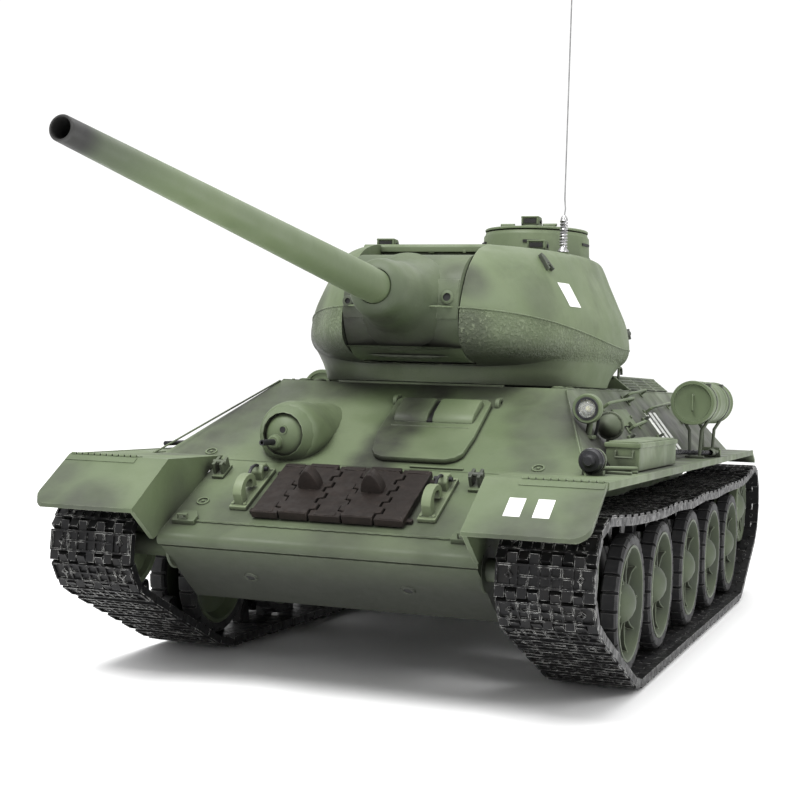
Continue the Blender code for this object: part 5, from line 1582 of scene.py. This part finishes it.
def engine_deck():
    """Air intakes with slatted, meshed outer faces, the engine cover, handles and bolts."""
    piece = Piece(hull_green, dark_olive, hole_shade_black)
    front, back = aft(143), aft(236)
    piece.add(box((-33.5, front, ROOF_Z + GAP), (33.5, back, ROOF_Z + 1.6)), bevel=0.4)
    piece.add(box((-20, front + 6, ROOF_Z + 1), (20, front + 50, ROOF_Z + 3.6)), bevel=0.7)
    piece.add(disc("Z", (0, front + 28, ROOF_Z + 3), 0, 1.6, 7.5, 32), bevel=0.3)
    for x in (-17, 17):
        for along in (10, 28, 46):
            piece.add(hexagon((x, front + along, ROOF_Z + 3.5), 0.8, 0.7))
    for side in (LEFT, RIGHT):
        rim = [(33.2, 0.3), (33.2, 5.4), (35.2, 6.8), (46.4, 6.8), (48.0, 6.2), (55.2, 0.6), (54.0, 0.3)]
        for low, high in ((0, 3.2), (29.2, 32.4), (60.6, 63.8), (89.8, 93)):
            piece.add(prism([(side * x, ROOF_Z + z) for x, z in rim], "Y", front + low, front + high),
                      bevel=0.3)
        inner = [(34, 0.3), (34, 4.6), (35.6, 5.6), (46.0, 5.6), (47.2, 5.0), (53.4, 0.4)]
        # Painted shade: a black block inside the intake, under the grille.
        piece.add(prism([(side * x, ROOF_Z + z) for x, z in inner], "Y", front + 1, back - 1), paint=2)
        for share in (0.03, 0.27, 0.51, 0.75, 0.97):
            bar = Vector((side * (47.9 + 6.6 * share), 0, ROOF_Z + 6.1 - 5.3 * share))
            piece.add(tube([bar + Vector((0, front + 1, 0)), bar + Vector((0, back - 1, 0))], 0.42, 6),
                      paint=1)
        for k in range(31):
            y = front + 1.8 + 3.0 * k
            piece.add(tube([(side * 47.6, y, ROOF_Z + 6.3), (side * 54.6, y, ROOF_Z + 0.7)], 0.36, 6),
                      paint=1)
            piece.add(box((min(side * 34.2, side * 46.8), y - 0.45, ROOF_Z + 5.2),
                          (max(side * 34.2, side * 46.8), y + 0.45, ROOF_Z + 6.5)))
        top = [(min(side * x0, side * x1), max(side * x0, side * x1)) for x0,
               x1 in ((33.2, 35.4), (45.6, 48.0))]
        for low, high in top:
            piece.add(box((low, front, ROOF_Z + 4.9), (high, back, ROOF_Z + 6.7)), bevel=0.3)
        loop = [(side * 49.0, aft(147), 102.2), (side * 49.0, aft(147), 111.8),
                (side * 49.0, aft(149), 113.0),
                (side * 49.0, aft(152), 112.6), (side * 49.0, aft(153), 110.0)]
        piece.add(tube(smooth_line(loop, 4), 0.6, 8), paint=1)
    piece.done("engine_deck_grilles", "hull", "hull_paint", ("engine_deck",))


def roof_details():
    """Covers and plates on the hull roof ahead of and beside the turret."""
    piece = Piece(hull_green, dark_olive)
    piece.add(box((-33, aft(20.8), ROOF_Z - 0.4), (33, aft(23.4), ROOF_Z + 0.6)), bevel=0.3)
    for side in (LEFT, RIGHT):
        low, high = sorted((side * 44, side * 56.4))
        piece.add(box((low, aft(64), ROOF_Z - 0.3), (high, aft(98), ROOF_Z + 0.5)), bevel=0.25)
        for station in (31, 45, 122, 134):
            piece.add(turned([(-0.2, 0), (-0.2, 2.6), (0.5, 2.5), (0.9, 1.4), (0.9, 0)], "Z",
                             spot(side * 51.5, station, ROOF_Z), 20))
        for k in range(7):
            piece.add(hexagon(tuple(spot(side * 55.4, 28 + 18 * k, ROOF_Z - 0.05)), 0.65, 0.6))
        edge = [spot(side * (ROOF_HALF - 0.1), s, ROOF_Z - 0.1) for s in range(22, 246, 8)]
        piece.add(tube(edge, 0.42, 6))
    piece.done("roof_fittings", "hull", "hull_paint")


def rear_plate():
    """The round access hatch, armoured exhaust covers, hinges, lugs and bolts of the sloped rear."""
    hatch_up = (78.0 - REAR_FOOT[1]) * math.sqrt(2)
    hatch = Piece(hull_green, dark_olive)
    hatch.add(turned([(0.1, 0), (0.1, 13.5), (1.2, 13.5), (1.9, 12.6), (2.3, 9.0), (2.6, 0)], "Z",
                     (0, hatch_up, 0),
                     56), ON_REAR)
    hatch.add(turned([(0, 13.6), (0, 15.2), (0.8, 15.0), (0.8, 13.6)], "Z", (0, hatch_up, 0), 56), ON_REAR)
    for k in range(8):
        a = math.radians(45 * k + 22.5)
        hatch.add(hexagon((11.3 * math.cos(a), hatch_up + 11.3 * math.sin(a), 1.6), 0.85, 0.9), ON_REAR)
    for x in (-5, 5):
        hatch.add(disc("X", (0, hatch_up - 14.6, 1.4), x - 2.4, x + 2.4, 1.2, 14), ON_REAR)
        hatch.add(box((x - 1.6, hatch_up - 15, 0.4), (x + 1.6, hatch_up - 9, 2.6)), ON_REAR, bevel=0.3)
    hatch.done("rear_access_hatch", "hull", "hull_paint", ("rear_hatch",))
    up = (80 - REAR_FOOT[1]) * math.sqrt(2)
    for word, side in SIDES:
        piece = Piece(dark_olive, black_metal, hole_shade_black)
        at = ON_REAR @ move(side * 33, up, 0)
        piece.add(turned([(0.1, 0), (0.1, 9.2), (1.4, 9.2), (2.2, 8.4), (4.6, 6.4), (5.0, 5.4), (5.0, 0)],
                         "Z",
                         (0, 0, 0), 40), at)
        pipe = at @ turn("X", 25)
        piece.add(turned([(3, 0), (3, 4.9), (14.4, 4.6), (15.6, 4.8), (16, 4.5), (16, 3.7), (8, 3.5),
                          (8, 0)], "Z",
                         (0, 0, 0), 32), pipe, paint=1)
        # Painted shade: a black disc inside the pipe.
        piece.add(disc("Z", (0, 0, 0), 8.0, 8.6, 3.5, 24), pipe, paint=2)
        for k in range(6):
            a = math.radians(60 * k + 30)
            piece.add(hexagon((8.0 * math.cos(a), 8.0 * math.sin(a), 1.9), 0.8, 0.9), at)
        piece.done(f"exhaust_{word}_cover", "hull", "dark_fittings", (f"exhaust_{word}",))
    trim = Piece(hull_green, dark_olive, black_metal)
    for side in (LEFT, RIGHT):
        for across in (18, 47):
            trim.add(disc("X", (0, 1.6, 0.6), side * across - 3.4, side * across + 3.4, 1.5, 14), ON_REAR)
            trim.add(box((side * across - 2.4, 1.2, 0), (side * across + 2.4, 7.5, 1.1)), ON_REAR, bevel=0.3)
        for k in range(9):
            trim.add(hexagon((side * (4 + 6.1 * k), 56.6, -0.1), 0.7, 0.7), ON_REAR)
            trim.add(hexagon((side * (4 + 6.1 * k), 4.6, -0.1), 0.7, 0.7), ON_REAR)
        hook = [(-2.2, 0), (2.2, 0), (2.2, 4.6), (1.0, 6.6), (-1.0, 6.6), (-2.2, 4.6)]
        low = Matrix.Translation(spot(side * 46, 289.8, 52)) @ turn("X", -90)
        trim.add(prism(hook, "X", -1.4, 1.4), low, bevel=0.4)
        trim.add(tube([spot(side * 24, 252, 101.9), spot(side * 24, 256, 104.0), spot(side * 38, 256, 104.0),
                       spot(side * 38, 252, 101.9)], 0.55, 8), paint=1)
    trim.done("rear_trim", "hull", "hull_paint")


def belly():
    """Screws on the battery door and drain plugs under the hull."""
    piece = Piece(black_metal, shadow_green)
    under = Matrix.Rotation(math.pi, 4, "X")
    for x in (-24, 24):
        for station in (19, 66.5, 114):
            place = Matrix.Translation(spot(x, station, BELLY_Z - 1.45)) @ under
            piece.add(turned([(0, 0), (0, 1.3), (0.25, 1.3), (0.45, 1.0), (0.45, 0)], "Z", (0, 0, 0), 18),
                      place)
    for x, station in ((0, -30), (-30, 140), (30, 140), (0, 200), (-38, 250), (38, 250)):
        place = Matrix.Translation(spot(x, station, BELLY_Z)) @ under
        piece.add(turned([(-0.2, 0), (-0.2, 3.6), (0.5, 3.4), (0.7, 2.0), (0.7, 0)], "Z", (0, 0, 0), 24),
                  place, paint=1)
    for side in (LEFT, RIGHT):
        for station, z, r in [(s - 20.0, AXLE_Z + 8.7, 6.4) for s in AXLE_STATIONS] + [(*IDLER, 7.6),
                                                                                       (*SPROCKET, 12.6)]:
            low, high = sorted((side * (TUB_X - 0.4), side * (TUB_X + 0.22)))
            piece.add(turned([(low, 2.4), (low, r), (high, r - 0.4), (high, 2.4)], "X", spot(0, station, z),
                             28),
                      paint=1)
    piece.done("belly_fittings", "hull", "hull_paint")


add_camera()
studio()
paint_nodes()
nose()
for word, side in SIDES:
    tow_hook(word, side)
    track(word, side)
wheels()
spare_link_rack()
driver_hatch()
bow_gun()
mudguards()
glacis_fittings()
headlight()
horn()
drums()
toolbox()
side_fittings()
numbers_band()
engine_deck()
roof_details()
rear_plate()
belly()
turret_body()
turret_base()
casting_seam()
turret_roof()
turret_bar()
cupola()
loader_hatch()
antenna()
periscope_head("commander_periscope", "cupola_lid", "cupola_periscope", CUPOLA[0], CUPOLA[1] - 8,
               CUPOLA_TOP + 2 * GAP + 1.4)
periscope_head("gunner_periscope_head", "turret", "gunner_periscope", 33, 63, TURRET_ROOF)
periscope_head("loader_periscope_head", "turret", "loader_periscope", -28, 56, TURRET_ROOF)
mantlet()
gun_barrel()
